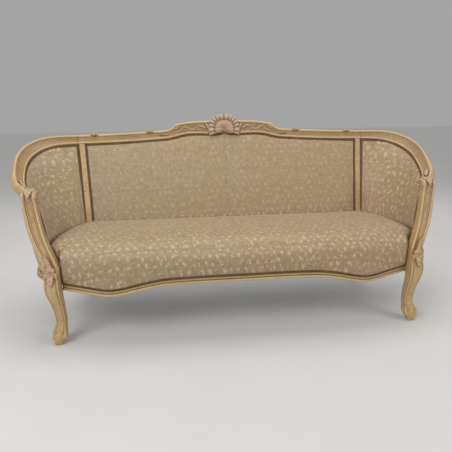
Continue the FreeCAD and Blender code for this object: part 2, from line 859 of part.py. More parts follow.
# Braces from the front rail to the rear rail
brace_solids = []
rear_board_front = post_y - mm("rear_rail_thickness") / 2
brace_x = mm("spring_pitch_x")
brace_height = mm("deck_height") - mm("rail_bottom") - mm("brace_gap")
for side in (-1, 1):
    beam = Part.makeBox(
        mm("brace_width"),
        rear_board_front + mm("front_reach"),
        brace_height,
        Vector(side * brace_x - mm("brace_width") / 2, -mm("front_reach"), mm("deck_height") - brace_height),
    )
    brace_solids.append(max(beam.cut(front_rail).Solids, key=lambda solid: solid.CenterOfMass.y))
add("seat_braces", Part.makeCompound(brace_solids))

# Corner blocks: glued into the four corners of the seat frame
corner_z = mm("deck_height") - mm("corner_height")
side_inner = [outer + inward * mm("side_rail_thickness") for outer, inward in side_line()]


def prism(corners, bottom, height):
    return Part.Face(closed(Vector(p.x, p.y, bottom) for p in corners)).extrude(UP * height)


front_block = prism(
    [
        Vector(block_inner - 62, block_rear - mm("rail_thickness") * 0.9, 0),
        Vector(block_inner, block_rear - mm("rail_thickness") * 0.9, 0),
        Vector(block_inner, block_rear, 0),
        side_inner[0],
        between(side_inner[0], side_inner[1], 0.8),
        Vector(block_inner - 62, block_rear + 14, 0),
    ],
    corner_z,
    mm("corner_height"),
)
front_block = front_block.cut([front_rail, side_rail, front_leg])
front_block = max(front_block.Solids, key=lambda solid: solid.Volume)
rear_block = prism(
    [
        Vector(post_inner - 64, rear_board_front, 0),
        Vector(post_inner, rear_board_front, 0),
        Vector(post_inner, post_y - mm("post_depth") / 2, 0),
        Vector(post_outer, post_y - mm("post_depth") / 2, 0),
        side_inner[-1],
        side_inner[-2],
        between(side_inner[-2], side_inner[-3], 0.9),
        Vector(post_inner - 64, rear_board_front - 18, 0),
    ],
    corner_z,
    mm("corner_height"),
)
rear_block = rear_block.cut([side_rail, rear_leg])
rear_block = max(rear_block.Solids, key=lambda solid: solid.Volume)


blocks = [front_block, rear_block]
add("corner_blocks", Part.makeCompound(blocks + [mirrored(block) for block in blocks]))

# Webbing: straps tacked under the seat rails, front to back and from side to side
strap_top = mm("rail_bottom")
web = mm("web_thickness")
cross_count = 2 * int((block_inner - mm("web_width")) // mm("web_pitch")) + 1
cross_straps = []
for i in range(cross_count):
    x = (i - (cross_count - 1) / 2) * mm("web_pitch")
    rear_y = post_y + mm("rear_rail_thickness") / 2 - 4
    front_y = -mm("front_reach") + mm("rail_thickness") - mm("rail_heel") + 2
    if abs(x) > 0.5 * block_inner:
        front_y += mm("front_sweep") * 0.55
    cross_straps.append(Part.makeBox(
        mm("web_width"), rear_y - front_y, web, Vector(x - mm("web_width") / 2, front_y, strap_top - 2 * web)))
long_straps = []
seat_middle = (rear_board_front - mm("front_reach") + mm("rail_thickness")) / 2
for row in (-1, 0, 1):
    y = seat_middle + row * mm("spring_pitch_y")
    reach = mm("side_reach") - mm("side_rail_thickness") * 0.5 - (60 if row else 6)
    long_straps.append(Part.makeBox(
        2 * reach, mm("web_width"), web, Vector(-reach, y - mm("web_width") / 2, strap_top - web)))
add("seat_webbing", Part.makeCompound(long_straps + cross_straps))


# Springs: double-cone coils that stand on the webbing
def coil():
    """One spring of straight lengths of wire with a square section, on the origin."""
    turns = mm("spring_turns")
    per_turn = int(mm("spring_segments"))
    wire = mm("spring_wire")
    height = spring_deck - mm("hessian_thickness") - strap_top - wire - 2 * soft
    steps = int(turns * per_turn)
    points = []
    for i in range(steps + 1):
        share = i / steps
        radius = between(mm("spring_waist"), mm("spring_radius"), abs(2 * share - 1) ** 1.5)
        bearing = 2 * math.pi * i / per_turn
        points.append(Vector(radius * math.cos(bearing), radius * math.sin(bearing), height * share))
    start = (points[1] - points[0]).normalize()
    level = start.cross(UP).normalize()
    rise = start.cross(level)
    corners = ((1, 1), (-1, 1), (-1, -1), (1, -1))
    section = closed(points[0] + (level * a + rise * b) * (wire / 2) for a, b in corners)
    sweep = Part.BRepOffsetAPI.MakePipeShell(Part.makePolygon(points))
    sweep.setTransitionMode(1)
    sweep.add(section)
    sweep.build()
    sweep.makeSolid()
    spring = sweep.shape()
    spring.translate(UP * (strap_top + soft + wire / 2))
    return spring


one_spring = coil()
springs = []
for column in (-2.5, -1.5, -0.5, 0.5, 1.5, 2.5):
    for row in (-1, 0, 1):
        spring = one_spring.copy()
        spring.translate(Vector(column * mm("spring_pitch_x"), seat_middle + row * mm("spring_pitch_y"), 0))
        springs.append(spring)
add("seat_springs", Part.makeCompound(springs))


# Hessian over the springs, drawn down to the top of the seat rails
def spring_mound(grow, top):
    """The shallow mound that the springs hold up, with its foot on the rails."""
    foot = mm("deck_height") + soft
    levels = []
    inset_top = mm("mound_inset") - grow
    for z, inset in ((foot, inset_top * 0.5), (between(foot, top, 0.7), inset_top * 0.7), (top, inset_top)):
        y_front = -mm("front_reach") + mm("front_sweep") + mm("lip_depth") + inset
        y_rear = rear_board_front - inset
        x_side = block_inner - 20 - inset
        levels.append(closed([
            Vector(-x_side, y_front, z),
            Vector(x_side, y_front, z),
            Vector(x_side, y_rear, z),
            Vector(-x_side, y_rear, z),
        ]))
    return faceted(levels)


hessian_outer = spring_mound(0, spring_deck)
hessian_inner = spring_mound(-mm("hessian_thickness"), spring_deck - mm("hessian_thickness"))
add("spring_hessian", hessian_outer.cut(hessian_inner))
spring_room = spring_mound(1, spring_deck + soft)


# Seat: a domed pad with a rolled front edge that hangs down over the front rail to its lip
def seat_outline(z, inset):
    """The plan of the seat at one height."""
    rear_y = back_y(min(z, seat_top)) - mm("seat_side_gap")
    stations = [station for station in front_stations() if station[0] >= 0]
    right = [Vector(x, y + 4, z) for x, y, bottom in (stations[0], stations[6], stations[10], stations[14])]
    right[-1].x -= 1
    right.append(Vector(block_inner - 1, block_rear + 2, z))
    sides = list(reversed(panel_foot[::4])) + [panel_foot[0]]
    right.append(Vector(panel_foot[-1].x - 12, block_rear + 2, z))
    for point in sides[1:-2]:
        right.append(Vector(point.x - mm("seat_side_gap"), point.y - mm("seat_side_gap") * 0.3, z))
    right.append(Vector(sides[-1].x - mm("seat_side_gap"), rear_y - 2, z))
    right.append(Vector(stile_x(z) - 40, rear_y, z))
    middle_y = (rear_y - mm("front_reach")) / 2
    half_depth = (rear_y + mm("front_reach")) / 2
    drawn = []
    for point in right:
        x = point.x * (1 - inset / seat_reach)
        drawn.append(Vector(x, middle_y + (point.y - middle_y) * (1 - inset / half_depth), z))
    left = [Vector(-p.x, p.y, z) for p in reversed(drawn[1:])]
    return closed(drawn + left)


def seat_body(grow):
    """The seat with every face moved out by grow."""
    top = seat_top
    crown = mm("crown_height")
    levels = [
        (mm("deck_height") + soft, -grow),
        (top - 24, -grow),
        (top - 8 + grow, 12 - grow),
        (top + crown * 0.4 + grow, 52),
        (top + crown + grow, 140),
    ]
    dome = faceted([seat_outline(z, inset) for z, inset in levels])
    bulge = mm("border_bulge") + grow
    sections = []
    for x, y, bottom in front_stations():
        lip = bottom + mm("lip_height")
        x = x * (1 - 1.5 / block_inner)
        tack = y + mm("lip_depth") - soft
        sections.append(closed(
            Vector(x, at, z)
            for at, z in (
                (tack, lip + soft),
                (y + 2 - grow, lip + soft),
                (y - bulge * 0.7, lip + 22),
                (y - bulge, mm("deck_height") + 26),
                (y - bulge * 0.7, top - 34),
                (y + 4, top - 16 + grow),
                (y + 40, top - 16 + grow),
                (y + 40, mm("deck_height") + soft),
                (tack, mm("deck_height") + soft),
            )
        ))
    return dome.fuse(faceted(sections))


seat_inside = seat_body(0)
support_room = [support_solid, mirrored(support_solid)]
add("seat_stuffing", seat_inside.cut([spring_room] + support_room))
add("seat_cover", seat_body(cloth).cut([seat_inside] + support_room))


# Back: webbing, stuffing and cover between the posts, under the crest rail
def back_outline(foot, drop):
    """The (x, z) outline of the back panel; the top edge lies drop below the rail."""
    inner = [(p.x, p.z - drop) for p in raised_foot() + crest_inner()[:-1]]
    end_z = crest_inner()[-1].z - drop + 1
    right = inner + [(stile_x(end_z) - mm("stile_width") / 2 - soft, end_z)]
    right.append((stile_x(foot) - mm("stile_width") / 2 - soft, foot))
    return right + [(-x, z) for x, z in reversed(right[1:])]


pad_back = -cloth - soft - mm("pad_thickness")
add("back_stuffing", back_plate(back_outline(panel_base, 7), -cloth - soft, pad_back))
add("back_cover", back_plate(back_outline(panel_base, 1), 0, -cloth))
back_straps = []
strap_foot = panel_base - mm("lower_rail_height") * 0.7
strap_head = mm("rail_top") - mm("rail_face") - 16
for i in range(-3, 3):
    x = (i + 0.5) * mm("spring_pitch_x")
    half = mm("web_width") / 2
    outline = [(x - half, strap_foot), (x + half, strap_foot), (x + half, strap_head), (x - half, strap_head)]
    stay_back = min(pad_back, -4 - mm("lower_rail_thickness")) - 0.1
    back_straps.append(back_plate(outline, stay_back, stay_back - web))
add("back_webbing", Part.makeCompound(back_straps))

# Outside back: one cloth between the posts, from the crest rail to the rear seat rail
outside = stay_back - web - 3
outside_top = back_outline(panel_base, 17)
foot_z = mm("deck_height") + 3
side_z = panel_base - 5
right = [point for point in outside_top if point[0] > 0 and point[1] > panel_base]
right = [(0, outside_top[0][1])] + right
right.append((stile_x(side_z) - mm("stile_width") / 2 - soft, side_z))
right.append((post_inner - soft, foot_z))
outside_outline = right + [(-x, z) for x, z in reversed(right[1:])]
add("outside_back_cover", back_plate(outside_outline, outside, outside - cloth))

# Arms: stuffing and cover inside, one cloth outside
add_pair("arm_stuffing", arm_panel(-cloth - soft, -cloth - soft - mm("pad_thickness")))
add_pair("arm_cover", arm_panel(0, -cloth))


def outside_arm_shape():
    """A cloth from under the arm rail down to the lip of the side rail."""
    outer, inner = arm_lines()
    z = mm("support_top") - 8
    x, y, width = support_at(z)
    thick = mm("rail_width")
    tops = []
    for top, low, facing in facings(outer, inner):
        tops.append(low - facing * (0.8 * thick) - (top - low).normalize() * 2)
    tops.append(Vector(x + width / 2 - 5, y + mm("support_depth") + 3, z))
    feet = []
    for edge, inward in reversed(side_line()):
        feet.append((edge + inward * (mm("lip_depth") - soft), inward))
    feet[-1] = (feet[-1][0] + BACKWARD * (cloth + soft), inward)
    lip_z = mm("rail_bottom") + mm("lip_height") + soft
    lows = [Vector(foot.x, foot.y, lip_z) for foot, inward in feet]
    ways = twice_as_many([inward for foot, inward in feet])
    sections = []
    for top, low, inward in zip(twice_as_many(tops), twice_as_many(lows), ways):
        mid = between(low, top, 0.45) - inward * 14
        out = inward.normalize() * -cloth
        sections.append(closed([low, mid, top, top + out, mid + out, low + out]))
    return faceted(sections)


outside_arm = outside_arm_shape().cut([support_solid, post_solid, front_leg])
outside_arm = max(outside_arm.Solids, key=lambda solid: solid.Volume)
add_pair("outside_arm_cover", outside_arm)

# Gimp: a narrow braid over the tacked edges of the covers
braid = mm("gimp_width")
braid_thick = mm("gimp_thickness")
gimp_sections = []
for x, y, bottom in front_stations():
    lip = bottom + mm("lip_height") + 2 * soft
    lean = mm("border_bulge") * 0.45
    face = y - soft
    gimp_sections.append(closed([
        Vector(x * 0.998, face, lip),
        Vector(x * 0.998, face - lean, lip + braid),
        Vector(x * 0.998, face - lean - braid_thick, lip + braid),
        Vector(x * 0.998, face - braid_thick, lip),
    ]))
add("seat_gimp", faceted(gimp_sections).cut(doc.getObject("seat_cover").Shape))


def ribbon(edge, far_edge, facing_list):
    """A braid between two lines, standing on the face that they lie in."""
    sections = []
    for near, far, facing in zip(edge, far_edge, facing_list):
        lift = facing * soft
        thick = facing * (soft + braid_thick)
        sections.append(closed([near + lift, far + lift, far + thick, near + thick]))
    return faceted(sections)


def back_gimp_shape():
    outline = [on_back(x, z) for x, z in back_outline(panel_base + 30, 1)]
    top_right = outline[: len(raised_foot()) + len(crest_inner()[:-1]) + 1]
    down = (on_back(0, 0) - on_back(0, 1)).normalize() * braid
    top = [Vector(-p.x, p.y, p.z) for p in reversed(top_right[1:])] + top_right
    run = ribbon(top, [p + down for p in top], [BACK_NORMAL] * len(top))
    corner = top_right[-1]
    foot = outline[len(top_right)]
    side = ribbon(
        [corner, foot],
        [corner - SIDEWAYS * braid, foot - SIDEWAYS * braid],
        [BACK_NORMAL] * 2,
    )
    return run.fuse([side, mirrored(side)])


add("back_gimp", back_gimp_shape())


def arm_gimp_shape():
    belly = mm("arm_belly")
    inward = []
    for top, mid, facing in zip(panel_top, panel_middle, panel_facing):
        inward.append((mid + facing * belly - top).normalize() * braid)
    run = ribbon(panel_top[:-1], [p + way for p, way in zip(panel_top[:-1], inward)], panel_facing)
    low, top = panel_foot[0] + UP * 30, panel_top[0]
    edge = [low, panel_middle[0] + panel_facing[0] * belly, top]
    ways = []
    for line in (panel_foot, panel_middle, panel_top):
        ways.append((line[1] - line[0]).normalize() * braid)
    rear = ribbon(edge, [p + way for p, way in zip(edge, ways)], [panel_facing[0]] * 3)
    sections = []
    for share in (0.22, 0.4, 0.6, 0.8, 0.97):
        z = between(mm("block_top"), mm("support_top"), share)
        x, y, width = support_at(z)
        side = x - width / 2 - soft
        back = y + mm("support_depth") * 0.8
        sections.append(closed([
            Vector(side, back, z),
            Vector(side, back - braid, z),
            Vector(side - braid_thick, back - braid, z),
            Vector(side - braid_thick, back, z),
        ]))
    return run.fuse([rear, faceted(sections)])


add_pair("arm_gimp", arm_gimp_shape())

# Dust cover under the webbing
dust_top = strap_top - 2 * web - soft
dust_front = [
    Vector(x * 0.99, y + mm("rail_thickness") - mm("rail_heel") + 3, dust_top)
    for x, y, bottom in front_stations() if x >= 0
]
dust_side = [outer + inward * (mm("side_rail_thickness") * 0.6) for outer, inward in side_line()[1:-1]]
dust_right = dust_front + [Vector(block_inner - 8, block_rear + 4, dust_top)]
dust_right += [Vector(p.x, p.y, dust_top) for p in dust_side]
dust_right += [Vector(post_inner - 4, post_y + mm("rear_rail_thickness") / 2 - 3, dust_top)]
dust_left = [Vector(-p.x, p.y, p.z) for p in reversed(dust_right[1:])]
add("dust_cover", Part.Face(closed(dust_right + dust_left)).extrude(-UP * mm("hessian_thickness")))

doc.recompute()
os.makedirs("parts", exist_ok=True)
for item in doc.Objects:
    if "Invalid" in item.State or "Error" in item.State:
        raise RuntimeError(f"{item.Label} failed: {item.State}")
for node in nodes:
    if node.Shape.isNull() or not node.Shape.isValid():
        raise RuntimeError(f"{node.Label} has no valid shape")
for node in nodes:
    node.Shape.exportStep(os.path.join("parts", node.Label + ".step"))
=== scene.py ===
import math

import bmesh
import bpy
import numpy as np
from mathutils import Matrix, Vector


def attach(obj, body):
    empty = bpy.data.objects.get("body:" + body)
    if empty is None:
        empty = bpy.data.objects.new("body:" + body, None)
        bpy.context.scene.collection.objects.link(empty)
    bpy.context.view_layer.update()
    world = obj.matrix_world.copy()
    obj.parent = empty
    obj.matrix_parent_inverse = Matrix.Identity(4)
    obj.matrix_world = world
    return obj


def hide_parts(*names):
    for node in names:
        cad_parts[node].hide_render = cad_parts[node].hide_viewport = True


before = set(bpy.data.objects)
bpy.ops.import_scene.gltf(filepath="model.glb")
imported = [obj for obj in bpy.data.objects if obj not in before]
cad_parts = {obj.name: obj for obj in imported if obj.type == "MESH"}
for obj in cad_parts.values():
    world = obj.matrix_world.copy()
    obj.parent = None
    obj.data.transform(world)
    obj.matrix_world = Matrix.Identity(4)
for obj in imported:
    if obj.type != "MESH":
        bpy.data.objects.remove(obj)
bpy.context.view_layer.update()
scene = bpy.context.scene


# The settee is seen from a little left of its middle and from above, across a pale floor,
# under soft lamps that stand in front of it.
turn, tilt, lean = math.radians(6.58), math.radians(14.4), math.radians(-0.75)
ahead = Vector((math.sin(turn) * math.cos(tilt), math.cos(turn) * math.cos(tilt), -math.sin(tilt)))
level = Vector((math.cos(turn), -math.sin(turn), 0))
upright = level.cross(ahead)
across = level * math.cos(lean) + upright * math.sin(lean)
upward = upright * math.cos(lean) - level * math.sin(lean)
lens = bpy.data.cameras.new("view")
lens.sensor_width = 36
lens.lens = 33.59
lens.shift_y = -1 / 452
eye = bpy.data.objects.new("view", lens)
eye.matrix_world = Matrix((
    (across.x, upward.x, -ahead.x, -0.2717),
    (across.y, upward.y, -ahead.y, -2.0634),
    (across.z, upward.z, -ahead.z, 0.9538),
    (0, 0, 0, 1),
))
scene.collection.objects.link(eye)
scene.camera = eye
scene.view_settings.view_transform = "Standard"


def lamp(name, place, aim, size, power):
    light = bpy.data.lights.new(name, "AREA")
    light.shape = "RECTANGLE"
    light.size, light.size_y = size
    light.energy = power
    holder = bpy.data.objects.new(name, light)
    holder.location = place
    holder.rotation_euler = (Vector(aim) - Vector(place)).to_track_quat("-Z", "Y").to_euler()
    scene.collection.objects.link(holder)


lamp("soft_box_left", (-2.2, -2.6, 2.9), (0, 0, 0.4), (2.2, 1.6), 62)
lamp("soft_box_right", (2.6, -2.0, 2.3), (0.2, 0, 0.5), (1.8, 1.6), 26)
lamp("soft_box_top", (0, 0.3, 3.2), (0, 0, 0), (3.0, 1.6), 30)
lamp("soft_box_rear", (0.5, 3.2, 2.0), (0, 0, 0.5), (2.5, 1.4), 22)


def step(tree, kind, feeds=(), **settings):
    """One node, its settings, and what feeds its sockets: a value or another node's output."""
    node = tree.nodes.new(kind)
    for name, value in settings.items():
        setattr(node, name, value)
    for socket, value in dict(feeds).items():
        value = getattr(value, "socket", value)
        if isinstance(value, bpy.types.NodeSocket):
            tree.links.new(value, node.inputs[socket])
        else:
            node.inputs[socket].default_value = value
    return node


class Flow:
    """A value that runs through the nodes of one tree, for plain arithmetic on it."""

    def __init__(self, tree, socket):
        self.tree, self.socket = tree, socket

    def by(self, operation, *others, **settings):
        feeds = enumerate((self, *others))
        node = step(self.tree, "ShaderNodeMath", feeds, operation=operation, **settings)
        return Flow(self.tree, node.outputs[0])

    def __add__(self, other):
        return self.by("ADD", other)

    def __sub__(self, other):
        return self.by("SUBTRACT", other)

    def __mul__(self, other):
        return self.by("MULTIPLY", other)

    def __abs__(self):
        return self.by("ABSOLUTE")

    def clipped(self):
        """Held between 0 and 1."""
        return self.by("ADD", 0.0, use_clamp=True)


def blend(share, first, second):
    """The first colour where the share is 0, the second where it is 1."""
    feeds = {0: share, 6: first, 7: second}
    return Flow(share.tree, step(share.tree, "ShaderNodeMix", feeds, data_type="RGBA").outputs[2])


def linear(red, green, blue):
    """A colour as it is seen on a screen, 0 to 255, for a shader."""
    def one(value):
        value /= 255
        return value / 12.92 if value <= 0.04045 else ((value + 0.055) / 1.055) ** 2.4
    return one(red), one(green), one(blue), 1.0


def new_finish(name, **uniform):
    """A node material; the values that are the same all over go on the shader itself."""
    material = bpy.data.materials.new(name)
    material.use_nodes = True
    shader = material.node_tree.nodes["Principled BSDF"]
    for socket, value in uniform.items():
        shader.inputs[socket.replace("_", " ")].default_value = value
    return material, material.node_tree, shader


def clouds(tree, where, scale, detail=4.0, rough=0.55, stretch=None):
    """A soft random pattern, from 0 to 1, on the given coordinates."""
    if stretch:
        where = step(tree, "ShaderNodeMapping", {"Vector": where, "Scale": stretch}).outputs[0]
    feeds = {"Vector": where, "Scale": scale, "Detail": detail, "Roughness": rough}
    return Flow(tree, step(tree, "ShaderNodeTexNoise", feeds).outputs[0])


def object_place(tree):
    return step(tree, "ShaderNodeTexCoord").outputs["Object"]


def finish(shader, height, distance, strength=1.0, **feeds):
    """Links what varies into the shader: colours and roughness, and a height for the bump."""
    tree = height.tree
    for socket, value in feeds.items():
        tree.links.new(value.socket, shader.inputs[socket.replace("_", " ")])
    bump = step(tree, "ShaderNodeBump", {"Height": height, "Distance": distance, "Strength": strength})
    tree.links.new(bump.outputs[0], shader.inputs["Normal"])


floor_finish, tree, shader = new_finish("pale_floor", Roughness=0.8)
spot = object_place(tree)
mottle = blend(clouds(tree, spot, 3.0), linear(214, 212, 208), linear(222, 220, 217))
finish(shader, clouds(tree, spot, 60.0), 0.0004, Base_Color=mottle)
floor_mesh = bpy.data.meshes.new("floor")
floor_mesh.from_pydata([(-30, -30, 0), (30, -30, 0), (30, 30, 0), (-30, 30, 0)], [], [(0, 1, 2, 3)])
floor_mesh.materials.append(floor_finish)
floor = bpy.data.objects.new("floor", floor_mesh)
scene.collection.objects.link(floor)

room = bpy.data.worlds.new("room")
scene.world = room
room.use_nodes = True
tree = room.node_tree
seen = Flow(tree, step(tree, "ShaderNodeLightPath").outputs["Is Camera Ray"])
shade = blend(seen, linear(206, 207, 209), linear(187, 187, 188))
tree.links.new(shade.socket, tree.nodes["Background"].inputs["Color"])
tree.nodes["Background"].inputs["Strength"].default_value = 0.74


# The show wood is beech, carved and painted a pale antique gold. The serpentine front rail
# and the bowed side rails carry a bead on their lower edge and a plain face for the tacks.
def line_through(points, count):
    """A smooth line through the points, one unit of length of parameter between each pair."""
    points = np.array(points, float)
    last = len(points) - 1
    pull = np.eye(last + 1)
    bend = np.zeros_like(points)
    for i in range(1, last):
        pull[i, i - 1 : i + 2] = 1, 4, 1
        bend[i] = 6 * (points[i + 1] - 2 * points[i] + points[i - 1])
    bend = np.linalg.solve(pull, bend)
    at = np.linspace(0, last, count)
    near = np.minimum(at.astype(int), last - 1)
    far_share = (at - near)[:, None]
    near_share = 1 - far_share
    straight = points[near] * near_share + points[near + 1] * far_share
    curve = bend[near] * (near_share**3 - near_share) + bend[near + 1] * (far_share**3 - far_share)
    return straight + curve / 6


def unit(vectors):
    return vectors / np.maximum(np.linalg.norm(vectors, axis=-1, keepdims=True), 1e-12)


def joined(name, parts):
    """One object from (points, faces, relief) parts, with every face looking outwards."""
    points, faces = [], []
    for spots, polygons, _ in parts:
        base = len(points)
        points.extend(map(tuple, np.asarray(spots, float)))
        faces.extend([tuple(base + v for v in polygon) for polygon in polygons])
    mesh = bpy.data.meshes.new(name)
    mesh.from_pydata(points, [], faces)
    work = bmesh.new()
    work.from_mesh(mesh)
    bmesh.ops.recalc_face_normals(work, faces=work.faces)
    work.to_mesh(mesh)
    work.free()
    solid = bpy.data.objects.new(name, mesh)
    scene.collection.objects.link(solid)
    return solid


def make_piece(name, parts, material, stands_for, carved=()):
    """Builds one piece, in metres in the settee's frame.

    relief is -1 in a groove, where the dark glaze stays, and +1 on an edge that is rubbed.
    """
    piece = joined(name, parts)
    relief, cut = [], []
    for i, (spots, _, heights) in enumerate(parts):
        relief.extend(np.broadcast_to(np.ravel(np.asarray(heights, float)), (len(spots),)))
        cut.extend([float(i in carved)] * len(spots))
    for label, values in (("relief", relief), ("carving", cut)):
        piece.data.attributes.new(label, "FLOAT", "POINT").data.foreach_set("value", values)
    piece.data.shade_smooth()
    piece.data.materials.append(material)
    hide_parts(*stands_for)
    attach(piece, "root")
    return piece


def make_pair(name, parts, stands_for, carved=()):
    """A piece of show wood and its mirror image on the other side."""
    make_piece(f"{name}_right", parts, wood, [f"{stands_for}_right"], carved)
    parts = [mirrored(part) for part in parts]
    make_piece(f"{name}_left", parts, wood, [f"{stands_for}_left"], carved)


def swept(rings, heights, closed_ends=True):
    """A solid through equal rings of points, with its ends filled."""
    rings = np.asarray(rings, float)
    count, around = rings.shape[:2]
    faces = []
    for i in range(count - 1):
        for j in range(around):
            k = (j + 1) % around
            faces.append((i * around + j, i * around + k, (i + 1) * around + k, (i + 1) * around + j))
    points = rings.reshape(-1, 3)
    heights = np.ravel(np.asarray(heights, float))
    if len(heights) == around:
        heights = np.tile(heights, count)
    if closed_ends:
        extra = [rings[0].mean(0), rings[-1].mean(0)]
        base = count * around
        points = np.vstack([points, extra])
        heights = np.append(heights, [0, 0])
        for j in range(around):
            k = (j + 1) % around
            faces.append((base, k, j))
            faces.append((base + 1, base - around + j, base - around + k))
    return points, faces, heights


def mirrored(part):
    points, faces, heights = part
    return np.asarray(points) * (-1, 1, 1), [tuple(reversed(f)) for f in faces], heights


wood, tree, shader = new_finish("antique_gold_paint", Specular_IOR_Level=0.45)
spot = object_place(tree)
relief, carving = (
    Flow(tree, step(tree, "ShaderNodeAttribute", attribute_name=label).outputs["Fac"])
    for label in ("relief", "carving")
)
patches = clouds(tree, spot, 7.0, 5.0)
specks = clouds(tree, spot, 55.0, 5.0, 0.7)
crackle = clouds(tree, spot, 240.0, 3.0)
tone = blend((patches * 2.4 - 0.7).clipped(), linear(180, 147, 98), linear(200, 171, 122))
tone = blend((specks * 3.0 - 1.35).clipped(), tone, linear(158, 121, 74))
rose = blend((specks * 2.6 - 0.8).clipped(), linear(190, 157, 134), linear(158, 130, 116))
tone = blend(carving * (patches * 1.6 - 0.1).clipped(), tone, rose)
rubbed = (relief * (specks * 1.6 - 0.2)).clipped()
tone = blend(rubbed * 0.6, tone, linear(226, 205, 162))
glaze = (relief * -1.0).clipped() * (patches * 0.6 + 0.50).clipped()
tone = blend(glaze, tone, linear(92, 63, 33))
grain = clouds(tree, spot, 4.0, stretch=(12, 60, 60))
finish(shader, grain * 0.6 + crackle, 0.0004, 0.7, Base_Color=tone, Roughness=specks * 0.35 + 0.28)

rail_line = [(0.000, 0.00, 0.00), (0.183, 0.00, 0.00), (0.365, -0.06, 0.00), (0.487, -0.11, 0.14),
             (0.609, -0.07, 0.58), (0.731, 0.13, 1.00), (0.853, 0.56, 0.84), (1.000, 1.00, 0.42)]
half = [(0.780 * along, -0.352 + 0.054 * back, 0.255 - 0.043 * drop) for along, back, drop in rail_line]
front_line = line_through([(-x, y, z) for x, y, z in reversed(half[1:])] + half, 141)
lip_section = [  # behind the face, above the lower edge, groove or edge
    (0.0060, 0.0005, -0.2), (0.0015, 0.0000, 0.3), (-0.0016, 0.0020, 0.7), (-0.0034, 0.0050, 1.0),
    (-0.0038, 0.0080, 0.9), (-0.0028, 0.0108, 0.3), (-0.0002, 0.0126, -0.7), (0.0020, 0.0134, -1.0),
    (0.0022, 0.0148, -0.9), (0.0006, 0.0160, 0.2), (-0.0004, 0.0185, 0.6), (-0.0002, 0.0225, 0.4),
    (0.0012, 0.0250, 0.2), (0.0032, 0.0260, 0.0), (0.0120, 0.0260, -0.8),
]
rings = []
for x, y, bottom in front_line:
    ring = [(x, y + deep, bottom + up) for deep, up, _ in lip_section]
    ring += [(x, y + 0.012, 0.332), (x, y + 0.038, 0.332), (x, y + 0.038, 0.262), (x, y + 0.024, 0.262)]
    rings.append(ring + [(x, y + 0.0235, bottom)])
rail_relief = [height for _, _, height in lip_section] + [0, 0, 0, 0, -0.3]
make_piece("front_rail_moulding", [swept(rings, rail_relief)], wood, ["front_rail"])

side_plan = [(0.842, -0.260), (0.8958, -0.2121), (0.9303, -0.1299), (0.938, -0.038),
             (0.9178, 0.0618), (0.8648, 0.1317), (0.8026, 0.1695), (0.755, 0.1796)]
side_way = [(-1, 0), (-0.80, 0.60), (-0.96, 0.28), (-1, -0.03), (-0.92, -0.39), (-0.62, -0.78),
            (-0.24, -0.97), (0, -1)]
side_edge = line_through(side_plan, 71)
side_inward = unit(line_through(side_way, 71))
rings = []
for (x, y), (in_x, in_y) in zip(side_edge, side_inward):
    marks = [(deep, 0.262 + up) for deep, up, _ in lip_section]
    marks += [(0.012, 0.332), (0.036, 0.332), (0.036, 0.262)]
    rings.append([(x + in_x * deep, y + in_y * deep, z) for deep, z in marks])
side_relief = [height for _, _, height in lip_section] + [0, 0, 0]
make_pair("side_rail_moulding", [swept(rings, side_relief)], "side_rail")


# Flowers, buds and acanthus leaves are carved in low relief from the same wood. Each leaf
# has a sunk midrib and lobes, and the dark glaze is left between them.
def leaf(spine, facing, width, height, lobes=4, count=30, across_count=12):
    """A leaf along a line: facing is the way its face looks, at every point or as a whole."""
    line = line_through(spine, count)
    facing = np.broadcast_to(np.asarray(facing, float), (len(spine), 3))
    facing = unit(line_through(facing, count))
    side = unit(np.cross(np.gradient(line, axis=0), facing))
    points, relief = [], []
    for i in range(count):
        along = i / (count - 1)
        body = width * (math.sin(math.pi * min(0.04 + 0.96 * along, 0.985) ** 0.72) ** 0.8)
        for j in range(across_count + 1):
            out = 2 * j / across_count - 1
            lobe = 0.5 + 0.5 * math.cos(2 * math.pi * (lobes * along - 0.75 * abs(out)))
            reach = body * out * (1 - 0.24 * abs(out) ** 3 * (1 - lobe))
            swell = (1 - out * out) ** 0.5 * (0.55 + 0.45 * lobe)
            rib = math.exp(-((out / 0.13) ** 2))
            up = height * swell * (1 - 0.4 * rib) * (0.35 + 0.65 * math.sin(math.pi * (0.12 + 0.8 * along)))
            points.append(line[i] + side[i] * reach + facing[i] * up)
            worn = 1.5 * lobe * (1 - abs(out)) - 0.9 * rib - 1.1 * abs(out) ** 4 + 0.1
            relief.append(max(-1, min(1, worn)))
    row = across_count + 1
    backs = [line[i] - facing[i] * 0.004 for i in range(count)]
    faces = []
    for i in range(count - 1):
        for j in range(across_count):
            a = i * row + j
            faces.append((a, a + 1, a + 1 + row, a + row))
        back = count * row + i
        faces.append((i * row, (i + 1) * row, back + 1, back))
        faces.append((i * row + row - 1, back, back + 1, (i + 1) * row + row - 1))
    for i, flip in ((0, 1), (count - 1, 0)):
        for j in range(across_count):
            tri = (i * row + j, i * row + j + 1, count * row + i)
            faces.append(tri[::-1] if flip else tri)
    return np.vstack([points, backs]), faces, relief + [-0.6] * count


